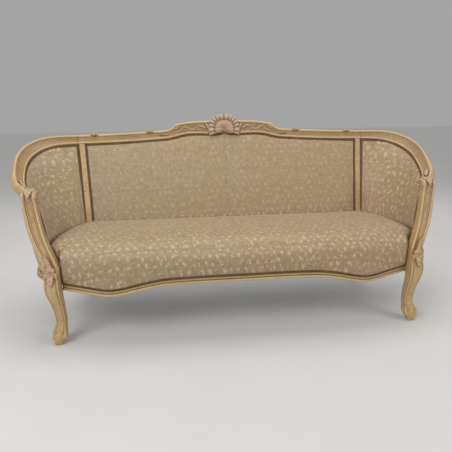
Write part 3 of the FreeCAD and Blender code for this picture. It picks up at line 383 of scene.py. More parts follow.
def dome(centre, facing, radius, height, petals=0, depth=0.25, count=9, around=30):
    """A round button, or with petals a flower, on a face."""
    facing = unit(np.asarray(facing, float))
    first = unit(np.cross(facing, (0.31, 0.2, 0.93)))
    second = np.cross(facing, first)
    rings, relief = [], []
    for i in range(count):
        share = 1 - i / (count - 0.5)
        ring = []
        for j in range(around):
            bearing = 2 * math.pi * j / around
            wave = abs(math.cos(bearing * petals / 2)) ** 0.6 if petals else 1
            reach = radius * share * (1 - depth * (1 - wave))
            up = height * (math.cos(share * math.pi / 2) ** 0.6) * (1 - 0.55 * (1 - wave)) if i else -0.003
            way = first * math.cos(bearing) + second * math.sin(bearing)
            ring.append(np.asarray(centre) + way * reach + facing * up)
            relief.append(1.6 * wave - 0.9 if i else -1)
        rings.append(ring)
    return swept(rings, np.array(relief))


def cord(points, radius, around=10, height=0.6):
    """A round strand of the given radius, one for all or one for each point."""
    points = np.asarray(points, float)
    radius = np.broadcast_to(radius, (len(points),))
    along = unit(np.gradient(points, axis=0))
    first = unit(np.cross(along, (0.05, 0.12, 1.0) if abs(along[0][2]) < 0.9 else (1.0, 0.1, 0.05)))
    rings = []
    for i, point in enumerate(points):
        if i:
            first[i] = unit(first[i - 1] - along[i] * np.dot(first[i - 1], along[i]))
        second = np.cross(along[i], first[i])
        bearings = np.linspace(0, 2 * math.pi, around, endpoint=False)
        rings.append([point + (first[i] * math.cos(b) + second * math.sin(b)) * radius[i] for b in bearings])
    return swept(rings, np.full(around, height))


# Cabriole legs: a square block takes the joints, and below it the knee bends out, narrows
# to the ankle and ends in a scroll with a pointed toe. Grooves follow the corners.
leg_levels = [  # middle x, y, height, half width, half depth
    (0.812, -0.326, 0.0000, 0.0135, 0.0155), (0.8115, -0.3265, 0.0060, 0.0165, 0.0185),
    (0.811, -0.327, 0.0140, 0.0185, 0.0205), (0.805, -0.321, 0.0400, 0.0285, 0.0270),
    (0.803, -0.318, 0.0600, 0.0290, 0.0260), (0.798, -0.314, 0.0850, 0.0240, 0.0230),
    (0.795, -0.312, 0.1100, 0.0222, 0.0212), (0.797, -0.319, 0.1647, 0.0235, 0.0245),
    (0.803, -0.326, 0.2103, 0.0275, 0.0286), (0.809, -0.324, 0.2407, 0.0320, 0.0330),
    (0.813, -0.320, 0.2700, 0.0330, 0.0330), (0.813, -0.315, 0.3000, 0.0310, 0.0290),
    (0.813, -0.305, 0.3500, 0.0270, 0.0230),
]
smooth_levels = line_through(leg_levels, 97)
rings, relief = [], []
around = 64
for x, y, z, half_x, half_y in smooth_levels:
    ring = []
    for j in range(around):
        bearing = 2 * math.pi * (j + 0.5) / around
        c, s = math.cos(bearing), math.sin(bearing)
        out_x = math.copysign(abs(c) ** 0.52, c)
        out_y = math.copysign(abs(s) ** 0.52, s)
        corner = 2 * abs(c * s)
        groove = math.exp(-(((corner - 0.80) / 0.085) ** 2)) if z > 0.05 else 0
        arris = math.exp(-(((corner - 1.0) / 0.06) ** 2))
        size = 1 - 0.055 * groove + 0.012 * arris
        ring.append((x + half_x * out_x * size, y + half_y * out_y * size, z))
        relief.append(0.7 * arris - 1.2 * groove + 0.15)
    rings.append(ring)
leg_parts = [swept(rings, np.array(relief))]


def rounded_block(low, high, bevel):
    """A box with eased edges."""
    work = bmesh.new()
    bmesh.ops.create_cube(work, size=1)
    low, high = Vector(low), Vector(high)
    for vertex in work.verts:
        vertex.co = Vector([(a + b) / 2 + c * (b - a) for a, b, c in zip(low, high, vertex.co)])
    bmesh.ops.bevel(work, geom=list(work.edges), offset=bevel, segments=3, affect="EDGES", profile=0.6)
    work.verts.index_update()
    part = [tuple(v.co) for v in work.verts], [tuple(v.index for v in f.verts) for f in work.faces], 0.0
    work.free()
    return part


leg_parts.append(rounded_block((0.7805, -0.3295, 0.262), (0.8455, -0.2605, 0.352), 0.002))


def spiral(centre, first, second, start, turns, pitch, rise=(0, 0, 0), count=60):
    """A line that winds in towards a centre."""
    first, second, rise = (np.asarray(v, float) for v in (first, second, rise))
    out = []
    for i in range(count):
        share = i / (count - 1)
        bearing = 2 * math.pi * turns * share
        radius = start * (1 - share) ** pitch + 0.0012
        way = first * math.cos(bearing) + second * math.sin(bearing)
        out.append(np.asarray(centre) + way * radius + rise * share)
    return out


for side in (-1, 1):  # the volute on each side of the foot
    centre = (0.804 + side * 0.0245, -0.326, 0.046)
    line = spiral(centre, (0, -0.35, -0.94), (0, -0.94, 0.35), 0.020, 1.6, 1.1, (side * 0.006, 0, 0))
    leg_parts.append(cord(line, np.linspace(0.0052, 0.003, len(line)), 8, 0.8))
    leg_parts.append(dome((0.804 + side * 0.028, -0.326, 0.046), (side, 0, 0), 0.006, 0.005))
toe = [(0.802, -0.3395, 0.078), (0.803, -0.3440, 0.056), (0.807, -0.3468, 0.032), (0.810, -0.3462, 0.012)]
leg_parts.append(leaf(toe, (0, -1, 0.1), 0.014, 0.005, 3))
# the flower on the knee block, with leaves above, below and at each side
flower_at = np.array((0.812, -0.337, 0.338))
flower_facing = unit(np.array((0.12, -1, 0.2)))
first_carved = len(leg_parts)
leg_parts.append(dome(flower_at, flower_facing, 0.021, 0.009, 6, 0.20))
leg_parts.append(dome(flower_at + flower_facing * 0.008, flower_facing, 0.0075, 0.006, 5, 0.2))
for path, width in (
    (((0.812, -0.338, 0.328), (0.813, -0.347, 0.310), (0.812, -0.353, 0.292), (0.811, -0.355, 0.274)), 0.018),
    (((0.804, -0.336, 0.334), (0.796, -0.340, 0.324), (0.790, -0.342, 0.312), (0.789, -0.342, 0.300)), 0.011),
    (((0.821, -0.336, 0.334), (0.829, -0.339, 0.324), (0.835, -0.340, 0.312), (0.836, -0.340, 0.300)), 0.011),
    (((0.812, -0.336, 0.348), (0.814, -0.334, 0.359), (0.818, -0.330, 0.371)), 0.012),
):
    leg_parts.append(leaf(path, flower_facing, width, 0.0042, 3))
outer = [(0.836, -0.325, 0.345), (0.845, -0.316, 0.330), (0.849, -0.307, 0.312), (0.848, -0.300, 0.290)]
leg_parts.append(leaf(outer, (1, -0.35, 0.2), 0.015, 0.0045, 3))
make_pair("front_leg_carved", leg_parts, "front_leg", range(first_carved, len(leg_parts)))


# The back posts are one length with the splayed rear legs. The braces, corner blocks and
# the rails behind the stuffing are bare beech, sawn and planed.
for name in ("rear_leg_left", "rear_leg_right"):
    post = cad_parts[name]
    for holder in post.material_slots:
        holder.material = wood
    eased = post.modifiers.new("eased edges", "BEVEL")
    eased.width = 0.002
    eased.segments = 2
    eased.limit_method = "ANGLE"

beech, tree, shader = new_finish("bare_beech", Roughness=0.62)
spot = object_place(tree)
fibres = clouds(tree, spot, 6.0, 6.0, 0.6, (5, 40, 40))
flecks = clouds(tree, spot, 3.0, 2.0, stretch=(60, 300, 300))
tone = blend((fibres * 2.6 - 0.8).clipped(), linear(176, 138, 94), linear(198, 165, 120))
tone = blend((flecks * 5.0 - 3.2).clipped(), tone, linear(142, 104, 66))
finish(shader, fibres + flecks, 0.0003, Base_Color=tone)


def dress(material, *names):
    for name in names:
        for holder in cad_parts[name].material_slots:
            holder.material = material


dress(beech, "rear_rail", "lower_back_rail", "seat_braces", "corner_blocks", "lower_arm_rail_left",
      "lower_arm_rail_right")


# The crest and arm rails form one moulded line: a bead beside the fabric, a hollow with a
# fine thread in it, and a heavier bead outside. The middle is raised, with soft ears.
rake = math.radians(18.3)
back_normal = np.array((0, -math.cos(rake), math.sin(rake)))


def on_back(x, z, proud=0.0):
    return np.array((x, 0.172 + (z - 0.430) * math.tan(rake), z)) + back_normal * proud


rail_section = [  # from the fabric edge (0) or the outer edge (1), how far in, proud, relief
    (0, -0.0005, -0.0060, -0.9), (0, -0.0005, -0.0010, -0.4), (0, 0.0010, 0.0022, 0.5),
    (0, 0.0035, 0.0044, 1.0), (0, 0.0065, 0.0046, 0.9), (0, 0.0090, 0.0028, 0.3),
    (0, 0.0102, -0.0006, -0.9), (0, 0.0112, -0.0022, -1.0), (0, 0.0124, -0.0014, 0.1),
    (0, 0.0140, -0.0022, -0.3), (0, 0.0170, -0.0036, -0.5), (1, 0.0205, -0.0042, -0.5),
    (1, 0.0180, -0.0032, -0.3), (1, 0.0168, -0.0010, 0.7), (1, 0.0152, -0.0008, 0.5),
    (1, 0.0144, -0.0026, -1.0), (1, 0.0134, -0.0020, -0.8), (1, 0.0122, 0.0022, 0.4),
    (1, 0.0100, 0.0050, 0.9), (1, 0.0070, 0.0062, 1.0), (1, 0.0035, 0.0056, 0.9),
    (1, 0.0008, 0.0032, 0.6), (1, -0.0012, -0.0006, 0.4), (1, -0.0016, -0.0060, 0.1),
    (1, -0.0010, -0.0160, 0.0), (1, 0.0015, -0.0280, 0.1), (1, 0.0070, -0.0340, 0.2),
    (1, 0.0160, -0.0360, 0.0), (0, 0.0140, -0.0350, 0.0), (0, 0.0050, -0.0310, 0.0),
    (0, 0.0000, -0.0240, -0.2), (0, -0.0005, -0.0140, -0.5),
]


def moulding(inner, outer, facing):
    """The rail between two lines, with its face looking the way of facing."""
    rings = []
    for low, high, way in zip(inner, outer, facing):
        face = unit(high - low)
        ring = []
        for edge, inset, proud, _ in rail_section:
            start = high - face * inset if edge else low + face * inset
            ring.append(start + way * proud)
        rings.append(ring)
    return swept(rings, [height for _, _, _, height in rail_section])


# fabric edge x, z and outer edge x, z, out from the middle to the ear and on to the arm
raised = [(0.000, 0.880, 0.000, 0.934), (0.014, 0.871, 0.014, 0.934), (0.030, 0.866, 0.030, 0.934),
          (0.080, 0.864, 0.080, 0.933), (0.150, 0.866, 0.150, 0.931), (0.205, 0.864, 0.204, 0.927),
          (0.236, 0.859, 0.240, 0.9215), (0.257, 0.854, 0.268, 0.9165)]
falling = [(0.257, 0.854, 0.268, 0.9165), (0.266, 0.8515, 0.277, 0.907), (0.281, 0.848, 0.291, 0.896),
           (0.305, 0.8435, 0.313, 0.8875), (0.345, 0.840, 0.350, 0.8835), (0.478, 0.832, 0.478, 0.877),
           (0.634, 0.826, 0.634, 0.871), (0.790, 0.823, 0.790, 0.867)]
stations = np.vstack([line_through(raised, 61), line_through(falling, 90)[1:]])
lean_back = [0.0084 * min(1, max(0, (x - 0.24) / 0.13)) ** 1.5 for x in stations[:, 2]]
crest_inner = np.array([on_back(x, z) for x, z, _, _ in stations])
crest_outer = np.array([on_back(x, z) + (0, extra, 0) for (_, _, x, z), extra in zip(stations, lean_back)])
crest_facing = unit(np.cross((1, 0, 0), (crest_outer - crest_inner) * (0, 1, 1)))
crest_half = moulding(crest_inner, crest_outer, crest_facing)
crest_parts = [crest_half, mirrored(crest_half)]
# the rolled ear
line = spiral(on_back(0.2655, 0.905, -0.001), (1, 0, 0), on_back(0, 1) - on_back(0, 0), 0.0125, -1.5, 1.0,
              back_normal * 0.006)
ear = cord(line, np.linspace(0.0044, 0.0028, len(line)), 10, 0.8)
crest_parts += [ear, mirrored(ear)]
for x, rail_z in ((0.408, 0.8805), (0.703, 0.8695)):  # buds that sit on the rail
    bud_root = on_back(x, rail_z) + (0, 0.004, -0.002)
    for shift, size in ((-0.0150, 0.0080), (0, 0.0120), (0.0150, 0.0080)):
        part = dome(bud_root + (shift, 0, 0), (shift * 14, -0.45, 1), size, size * 1.30, 3, 0.15, 7, 20)
        crest_parts += [part, mirrored(part)]
first_carved = len(crest_parts)
up_back = unit(on_back(0, 1) - on_back(0, 0))
for x, z, end_x, end_z, bow, width in (  # running leaves on the raised field
    (0.100, 0.893, 0.158, 0.903, 0.010, 0.0085), (0.150, 0.904, 0.196, 0.889, -0.008, 0.0075),
    (0.186, 0.888, 0.236, 0.898, 0.009, 0.0075), (0.226, 0.896, 0.262, 0.874, -0.003, 0.0060),
    (0.136, 0.894, 0.160, 0.883, -0.004, 0.0045), (0.212, 0.891, 0.224, 0.879, -0.003, 0.0040),
    (0.300, 0.866, 0.352, 0.861, 0.002, 0.0045),
):
    start, stop = on_back(x, z, -0.0030), on_back(end_x, end_z, -0.0030)
    middle = (start + stop) / 2 + up_back * bow
    part = leaf([start, middle, stop], back_normal, width, 0.0050, 4, 22, 8)
    crest_parts += [part, mirrored(part)]
for x, z in ((0.118, 0.885), (0.172, 0.900), (0.205, 0.895), (0.243, 0.889)):
    part = dome(on_back(x, z, -0.003), back_normal, 0.0055, 0.0055, 5, 0.4, 6, 20)
    crest_parts += [part, mirrored(part)]


def shell_part():
    """An open shell: a smooth hollowed heart with a broad lip, and lobes round the rim."""
    points, relief = [], []
    rows, columns, lobes = 40, 171, 13
    root = on_back(0, 0.876, -0.001)
    for i in range(rows):
        out = i / (rows - 1)
        for j in range(columns):
            share = 2 * j / (columns - 1) - 1
            bearing = math.radians(108) * share
            wave = abs(math.cos(math.pi * lobes * (share + 1) / 2))
            wide = 0.0870 * math.copysign(abs(math.sin(bearing)) ** 0.80, bearing)
            high = 0.0865 * math.copysign(abs(math.cos(bearing)) ** 0.86, math.cos(bearing))
            rim = min(1, max(0, (out - 0.58) / 0.18))
            scallop = 1 - 0.075 * (1 - wave**0.7) * out**3
            rib = (0.45 + 0.55 * rim) * wave**0.8 * min(1, out * 2)
            crown = 0.021 * math.sin(math.pi * min(1, 0.16 + 0.66 * out)) ** 0.8
            crown -= 0.006 * math.exp(-(((out - 0.63) / 0.08) ** 2))
            crown += 0.006 * math.exp(-(((out - 0.30) / 0.22) ** 2))
            up = crown + 0.0062 * rib * (1 if out < 0.93 else (1 - out) / 0.07)
            place = root + np.array((wide * scallop * out, 0, 0))
            points.append(place + up_back * (high * scallop * out + 0.006) + back_normal * up)
            ditch = math.exp(-(((out - 0.63) / 0.06) ** 2))
            relief.append(max(-1, 1.6 * rib - 0.75 * rim - 0.2 - ditch))
    backs = len(points)
    for j in range(columns):
        points.append(points[(rows - 1) * columns + j] - back_normal * 0.030)
        relief.append(0.0)
    points.append(root - back_normal * 0.030)
    relief.append(0.0)
    faces = []
    for i in range(rows):
        for j in range(columns - 1):
            a = i * columns + j
            faces.append((a, a + 1, a + 1 + columns, a + columns))
    for j in range(columns - 1):
        faces.append((backs + j, backs + j + 1, backs + columns))
        faces.append((j + 1, j, backs + columns))
    for j, flip in ((0, False), (columns - 1, True)):
        edge = [i * columns + j for i in range(rows + 1)] + [backs + columns]
        faces.append(tuple(edge[::-1] if flip else edge))
    return points, faces, relief


crest_parts.append(shell_part())
for i in range(-6, 7):  # a string of pearls round the root
    bearing = math.radians(15 * i)
    place = on_back(math.sin(bearing) * 0.030, 0.884 + math.cos(bearing) * 0.026, 0.0175)
    crest_parts.append(dome(place, back_normal, 0.0030, 0.0030, 0, 0, 5, 12))
for side in (-1, 1):  # leaves that cup the shell and scroll away from its foot
    for marks, width, height, lobes, count in (
        (((0.006, 0.874, 0.003), (0.040, 0.872, 0.004), (0.074, 0.880, 0.002), (0.098, 0.897, -0.002)),
         0.011, 0.008, 5, 26),
        (((0.066, 0.884, 0.002), (0.092, 0.905, 0.001), (0.101, 0.926, -0.004)), 0.010, 0.007, 4, 22),
    ):
        path = [on_back(side * x, z, proud) for x, z, proud in marks]
        crest_parts.append(leaf(path, back_normal, width, height, lobes, count, 8))
path = [on_back(0, 0.893, 0.012), on_back(0, 0.880, 0.008), on_back(0, 0.868, 0.002)]
crest_parts.append(leaf(path, back_normal, 0.010, 0.006, 3, 20, 8))
carved = range(first_carved, len(crest_parts))
make_piece("crest_rail_carved", crest_parts, wood, ["crest_rail"], carved)


# From the crest joint the rail turns the corner, runs forward and down, and rolls over into
# a knuckle that is carved with leaves.
arm_outer_marks = [(0.790, 0.325, 0.867), (0.927, 0.299, 0.863), (1.008, 0.228, 0.838),
                   (1.038, 0.123, 0.795), (1.026, 0.010, 0.737), (0.988, -0.103, 0.688),
                   (0.918, -0.200, 0.663)]
arm_inner_marks = [(0.790, 0.302, 0.823), (0.895, 0.277, 0.817), (0.962, 0.215, 0.794),
                   (0.992, 0.118, 0.752), (0.982, 0.015, 0.699), (0.950, -0.083, 0.658),
                   (0.874, -0.194, 0.648)]
arm_outer = line_through(arm_outer_marks, 121)
arm_inner = line_through(arm_inner_marks, 121)
along = np.gradient(arm_outer + arm_inner, axis=0)
arm_facing = unit(np.cross(along, arm_outer - arm_inner))
arm_facing[:6] = [unit(crest_facing[-1] * (1 - i / 6) + arm_facing[6] * i / 6) for i in range(6)]
arm_parts = [moulding(arm_inner, arm_outer, arm_facing)]
first_carved = len(arm_parts)
knuckle = np.array((0.8965, -0.206, 0.630))
rolled = [  # along the roll from its middle, radius, relief
    (0.0, 0.0335, 0.4), (0.006, 0.0325, 0.1), (0.0120, 0.0305, -0.8), (0.0145, 0.0315, -0.9),
    (0.017, 0.0350, 0.3), (0.022, 0.0365, 0.9), (0.0262, 0.0345, 0.9), (0.0285, 0.030, 0.6),
    (0.0285, 0.022, 0.2), (0.0275, 0.012, -0.6),
]
rolled = [(-x, radius, height) for x, radius, height in rolled[:0:-1]] + rolled
bearings = np.linspace(0, 2 * math.pi, 56, endpoint=False)
rings = []
for x, radius, _ in rolled:
    rings.append([knuckle + (x, math.cos(b) * radius, math.sin(b) * radius) for b in bearings])
arm_parts.append(swept(rings, np.repeat([height for _, _, height in rolled], 56)))
for side in (-1, 1):
    line = spiral(knuckle + (side * 0.0275, 0, 0), (0, -1, 0), (0, 0, 1), 0.0260, 1.9, 0.9,
                  (side * 0.004, 0, 0))
    arm_parts.append(cord(line, np.linspace(0.0044, 0.0026, len(line)), 8, 0.8))
    arm_parts.append(dome(knuckle + (side * 0.031, 0, 0), (side, 0, 0), 0.0060, 0.0050))
for x, width, stop in ((0, 0.024, 92), (-0.021, 0.009, 46), (0.021, 0.009, 46)):
    path = []
    for share in np.arange(7) / 6:  # round the roll from behind its top, in degrees from straight up
        bearing = math.radians(-40 + (stop + 40) * share)
        reach = 0.0335 + 0.004 * share**2
        path.append(knuckle + (x, -math.sin(bearing) * reach, math.cos(bearing) * reach))
    facing = [unit(point - knuckle - (x, 0, 0)) for point in path]
    arm_parts.append(leaf(path, facing, width, 0.0048, 5, 34, 12))
start = (arm_outer[-12] + arm_inner[-12]) / 2 + arm_facing[-12] * 0.002
stop = (arm_outer[-28] + arm_inner[-28]) / 2 + arm_facing[-28] * -0.001
arm_parts.append(leaf([start, (start + stop) / 2 + arm_facing[-20] * 0.002, stop], arm_facing[-20], 0.013,
                      0.0045, 3))
make_pair("arm_rail_carved", arm_parts, "arm_rail", range(first_carved, len(arm_parts)))


# An S-shaped upright of the same wood joins each knuckle to the leg block. Its front has
# two beads and a hollow, and strands fan out from it to the side in long scrolls.
support_marks = [(0.808, -0.3300, 0.352, 0.0460), (0.8133, -0.3250, 0.370, 0.0460),
                 (0.852, -0.2916, 0.440, 0.0515), (0.8802, -0.2604, 0.520, 0.0559),
                 (0.8942, -0.2426, 0.595, 0.0570), (0.896, -0.2400, 0.622, 0.0570)]
support_line = line_through(support_marks, 71)
support_half = [  # share of the width from the middle, depth behind the front, relief
    (0.12, 0.0060, -0.2), (0.19, 0.0048, -0.7), (0.215, 0.0030, 0.4), (0.255, 0.0034, 0.3),
    (0.275, 0.0050, -0.9), (0.305, 0.0046, -1.0), (0.33, 0.0012, 0.3), (0.37, -0.0010, 0.9),
    (0.43, -0.0012, 1.0), (0.475, 0.0008, 0.8), (0.50, 0.0040, 0.3), (0.50, 0.0085, -0.2),
    (0.50, 0.0160, 0.1), (0.50, 0.0380, 0.0), (0.42, 0.0440, 0.0),
]
support_section = [(0.0, 0.0064, -0.1)] + support_half
support_section += [(-share, deep, height) for share, deep, height in support_half[::-1]]
rings = []
for x, y, z, width in support_line:
    rings.append([(x + width * share, y + deep, z) for share, deep, _ in support_section])
support_parts = [swept(rings, [height for _, _, height in support_section])]
for i, (share, deep, top_index) in enumerate(((0.50, 0.004, 58), (0.52, 0.016, 50), (0.53, 0.028, 42))):
    line = []
    for k in range(top_index, 3, -5):
        x, y, z, width = support_line[k]
        flare = (1 - k / 70) ** 2 * (0.010 + 0.008 * i)
        line.append((x + width * share + flare, y + deep + flare * 0.6, z))
    x, y, z = line[-1]
    line += [(x + 0.004, y + 0.004, z - 0.014), (x - 0.001, y + 0.004, z - 0.025),
             (x - 0.009, y + 0.002, z - 0.026)]
    strand = line_through(line, 60)
    thick = np.interp(np.linspace(0, 1, 60), (0, 0.2, 0.8, 1), (0.0012, 0.0036, 0.0052, 0.0034))
    support_parts.append(cord(strand, thick, 10, 0.8))
    support_parts.append(dome(strand[-1], (0.6, -0.8, 0), 0.0062, 0.0060))
path = [(0.813, -0.334, 0.360), (0.821, -0.328, 0.376), (0.831, -0.320, 0.393), (0.840, -0.311, 0.408)]
support_parts.append(leaf(path, (0.05, -1, -0.35), 0.0115, 0.0050, 4))
make_pair("arm_support_carved", support_parts, "arm_support", [len(support_parts) - 1])


# Jute webs are tacked under the seat rails and behind the back. Double-cone springs stand
# on the seat webs under a hessian, and a black cloth closes the underside.
def split(tree, vector):
    parts = step(tree, "ShaderNodeSeparateXYZ", {"Vector": vector}).outputs
    return [Flow(tree, part) for part in parts]


def woven(name, colour, other, pitch, distance, rough=0.85):
    """A plain weave of two threads on Object coordinates."""
    material, tree, shader = new_finish(name, Roughness=rough)
    x, y, z = split(tree, object_place(tree))
    turns = 2 * math.pi / pitch
    crossing = (x * turns).by("SINE") * ((y + z) * turns).by("SINE") * 0.5 + 0.5
    slubs = clouds(tree, object_place(tree), 1.0, stretch=(200, 20, 60))
    tone = blend((slubs * 0.8 + crossing * 0.4).clipped(), colour, other)
    finish(shader, crossing + slubs, distance, Base_Color=tone)
    return material


jute = woven("jute_web", linear(150, 116, 74), linear(196, 164, 118), 0.0030, 0.0005)
hessian = woven("hessian_cloth", linear(142, 112, 74), linear(184, 152, 106), 0.0016, 0.0003)
black_cloth = woven("black_dust_cloth", linear(34, 33, 34), linear(54, 52, 52), 0.0008, 0.0002)
dress(jute, "seat_webbing", "back_webbing")
dress(hessian, "spring_hessian")
dress(black_cloth, "dust_cover")

steel, tree, shader = new_finish("coppered_spring_steel", Metallic=1.0)
tarnish = clouds(tree, object_place(tree), 70.0, 5.0)
tree.links.new(blend(tarnish, linear(168, 112, 78), linear(116, 84, 66)).socket, shader.inputs["Base Color"])
tree.links.new((tarnish * 0.4 + 0.2).socket, shader.inputs["Roughness"])
coil_parts = []
for column in (-2.5, -1.5, -0.5, 0.5, 1.5, 2.5):
    for row in (-1, 0, 1):
        line = []
        for share in np.arange(81) / 80:
            radius = 0.028 + 0.012 * abs(2 * share - 1) ** 1.5
            bearing = 2 * math.pi * 3.25 * share
            x = column * 0.236 + radius * math.cos(bearing)
            y = row * 0.130 - 0.0835 + radius * math.sin(bearing)
            line.append((x, y, 0.2652 + 0.1158 * min(1, max(0, (share - 0.12) / 0.76))))
        coil_parts.append(cord(line, 0.0024, 6, 0))
make_piece("seat_springs_wound", coil_parts, steel, ["seat_springs"])


# A tight seat of hair and wadding under a pale gold silk brocade. It is domed, and rolls
# over the front in a deep soft edge that hangs down to the show wood.
brocade, tree, shader = new_finish("gold_brocade", Specular_IOR_Level=0.5, Sheen_Weight=0.25,
                                   Sheen_Roughness=0.35)
cloth_place = step(tree, "ShaderNodeUVMap", uv_map="cloth").outputs["UV"]
spot = object_place(tree)


def repeat(place, across, along, shift, drop=0.0):
    """How far a point lies from the middle of its own cell of the repeating pattern."""
    x, y = split(tree, place)[:2]
    row = y * (1 / along) + shift[1]
    odd = row.by("FLOOR").by("FLOORED_MODULO", 2.0) * drop
    column = x * (1 / across) + shift[0] + odd
    return (column.by("FRACT") - 0.5) * across, (row.by("FRACT") - 0.5) * along


def polar(cell, turned=0.0, squeeze=1.0):
    x, y = cell
    c, s = math.cos(turned), math.sin(turned)
    x, y = x * c + y * s, (y * c - x * s) * squeeze
    return (x * x + y * y).by("SQRT"), y.by("ARCTAN2", x)


blur = 1 / 0.0020


def bloom(cell, petals, radius, turned=0.0, squeeze=1.0):
    """1 inside a flower of so many petals; two petals make a pair of leaves."""
    away, bearing = polar(cell, turned, squeeze)
    if not petals:
        return ((away - radius) * -blur).clipped()
    petal = abs((bearing * (petals / 2)).by("COSINE"))
    return ((petal * (0.5 * radius) + 0.5 * radius - away) * blur).clipped()


def bow(cell, radius, width, leaves):
    """1 on a row of small leaves that bends over the middle of the cell."""
    away, bearing = polar(cell)
    swell = abs((bearing * leaves).by("SINE")) * (0.7 * width) + 0.3 * width
    band = ((swell - abs(away - radius)) * (1 / 0.0014)).clipped()
    return band * (cell[1] * 200.0).clipped()


wander = step(tree, "ShaderNodeTexNoise", {"Vector": cloth_place, "Scale": 48.0, "Detail": 2.0}).outputs[1]
drawn = step(tree, "ShaderNodeVectorMath", {0: wander, 1: (0.5, 0.5, 0.5)}, operation="SUBTRACT").outputs[0]
drawn = step(tree, "ShaderNodeVectorMath", {0: drawn, "Scale": 0.010}, operation="SCALE").outputs[0]
drawn = step(tree, "ShaderNodeVectorMath", {0: cloth_place, 1: drawn}, operation="ADD").outputs[0]
medallion = repeat(drawn, 0.078, 0.104, (0.0, 0.0))
spray = repeat(drawn, 0.078, 0.104, (0.5, 0.5))
blossoms = repeat(drawn, 0.0390, 0.0260, (0.5, 0.5), 0.5)
leaves = repeat(drawn, 0.0312, 0.0347, (0.2, 0.1), 0.5)
figure = bloom(blossoms, 5, 0.0112)
for piece in (bloom(leaves, 3, 0.0098, 0.6), bloom(leaves, 2, 0.0150, 1.9, 1.8)):
    figure = figure.by("MAXIMUM", piece)
figure = figure * (clouds(tree, cloth_place, 42.0, 3.0) * 2.6 - 0.42).clipped()
for piece, weight in (
    (bloom(medallion, 7, 0.0160), 0.70),
    (bow(medallion, 0.0290, 0.0056, 9.0), 0.45),
    (bloom(spray, 5, 0.0150, 0.3), 0.65),
):
    figure = figure.by("MAXIMUM", piece * weight)
for cell, reach in ((medallion, 0.0046), (spray, 0.0042), (blossoms, 0.0026)):
    figure = (figure - bloom(cell, 0, reach) * 0.7).clipped()
at_x, _, at_z = split(tree, spot)
thread_x, thread_y = split(tree, cloth_place)[:2]
streak = clouds(tree, cloth_place, 1.0, stretch=(6, 160, 1))
age = clouds(tree, spot, 2.2, 3.0)
wear = clouds(tree, spot, 14.0, 5.0, 0.6)
# painted sheen: the figure stands out more, and ground and outlines are darker, on the wings and on the seat
# than on the back
painted_sheen_contrast = ((abs(at_x) - 0.76) * 12.0).clipped().by("MAXIMUM", ((at_z - 0.470) * -30.0).clipped())
# painted light: the ground goes from grey-green on the left to pink on the right, as the light falls across
# it, mixed with random clouds
side_light_tint_and_mottle = (at_x * 0.75 + age * 2.2 - 0.6).clipped()
ground = blend(side_light_tint_and_mottle, linear(170, 153, 118), linear(175, 145, 112))
ground = blend((streak * 1.8 - 0.55).clipped(), ground, linear(158, 133, 98))
# painted sheen: a darker ground, a bolder figure and darker outlines on the wings and the seat
ground = blend(painted_sheen_contrast * 0.10, ground, linear(150, 126, 92))
light_figure = blend((wear * 2.2 - 0.6).clipped(), linear(210, 193, 160), linear(198, 176, 140))
cloth_colour = blend(figure * (wear * 0.8 + painted_sheen_contrast * 0.36 + 0.02).clipped(), ground, light_figure)
outline = (figure * (figure - 1.0) * -2.2).clipped() * (painted_sheen_contrast * 0.10 + 0.85)
cloth_colour = blend(outline, cloth_colour, blend(painted_sheen_contrast, linear(132, 106, 72), linear(116, 91, 58)))
seam = (abs(thread_x) * (-1 / 0.0016) + 1.0).clipped()
cloth_colour = blend(seam * 0.75, cloth_colour, linear(118, 90, 62))
warp = (thread_x * (2 * math.pi / 0.0009)).by("SINE")
weft = (thread_y * (2 * math.pi / 0.0007)).by("SINE")
height = figure * 0.8 + warp * 0.18 + weft * 0.12 - seam * 3.0
finish(shader, height, 0.00035, 0.8, Base_Color=cloth_colour, Roughness=figure * 0.22 + 0.36)


def settle(solid):
    """Applies what modifiers the object has."""
    made = bpy.data.meshes.new_from_object(solid.evaluated_get(bpy.context.evaluated_depsgraph_get()))
    solid.modifiers.clear()
    solid.data = made


def places(solid):
    spots = np.empty(len(solid.data.vertices) * 3)
    solid.data.vertices.foreach_get("co", spots)
    return spots.reshape(-1, 3)


def lay_flat(piece, flat):
    """Gives each point its place on the flat cloth, in metres."""
    corner = np.empty(len(piece.data.loops), int)
    piece.data.loops.foreach_get("vertex_index", corner)
    piece.data.uv_layers.new(name="cloth").data.foreach_set("uv", flat[corner].ravel())


def stuffed(name, parts, voxel, allowed, cloth_map, nodes):
    """Closes the parts into one skin, swells it as cloth, and keeps each point near its start.

    allowed gives how far each point may move; cloth_map gives where it lies on the flat cloth.
    """
    solid = joined(name, parts)
    remesh = solid.modifiers.new("skin", "REMESH")
    remesh.mode = "VOXEL"
    remesh.voxel_size = voxel
    settle(solid)
    soften = solid.modifiers.new("soften", "SMOOTH")
    soften.iterations = 4
    settle(solid)
    start = places(solid)
    cloth = solid.modifiers.new("cloth", "CLOTH")
    cloth.settings.quality = 3
    cloth.settings.mass = 0.3
    cloth.settings.tension_stiffness = 15
    cloth.settings.compression_stiffness = 15
    cloth.settings.bending_stiffness = 0.5
    cloth.settings.use_pressure = True
    cloth.settings.uniform_pressure_force = 4.0
    cloth.settings.effector_weights.gravity = 0
    first, last = 1, 12
    cloth.point_cache.frame_start, cloth.point_cache.frame_end = first, last
    for moment in range(first, last + 1):
        scene.frame_set(moment)
    settle(solid)
    scene.frame_set(first)
    move = places(solid) - start
    far = np.linalg.norm(move, axis=1, keepdims=True)
    limit = allowed(start)[:, None]
    start = start + move / np.maximum(far, 1e-9) * limit * (1 - np.exp(-far / np.maximum(limit, 1e-6)))
    solid.data.vertices.foreach_set("co", start.ravel())
    soften = solid.modifiers.new("soften", "SMOOTH")
    soften.iterations = 3
    settle(solid)
    lay_flat(solid, cloth_map(places(solid)))
    solid.data.shade_smooth()
    solid.data.materials.clear()
    solid.data.materials.append(brocade)
    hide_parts(*nodes)
    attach(solid, "root")


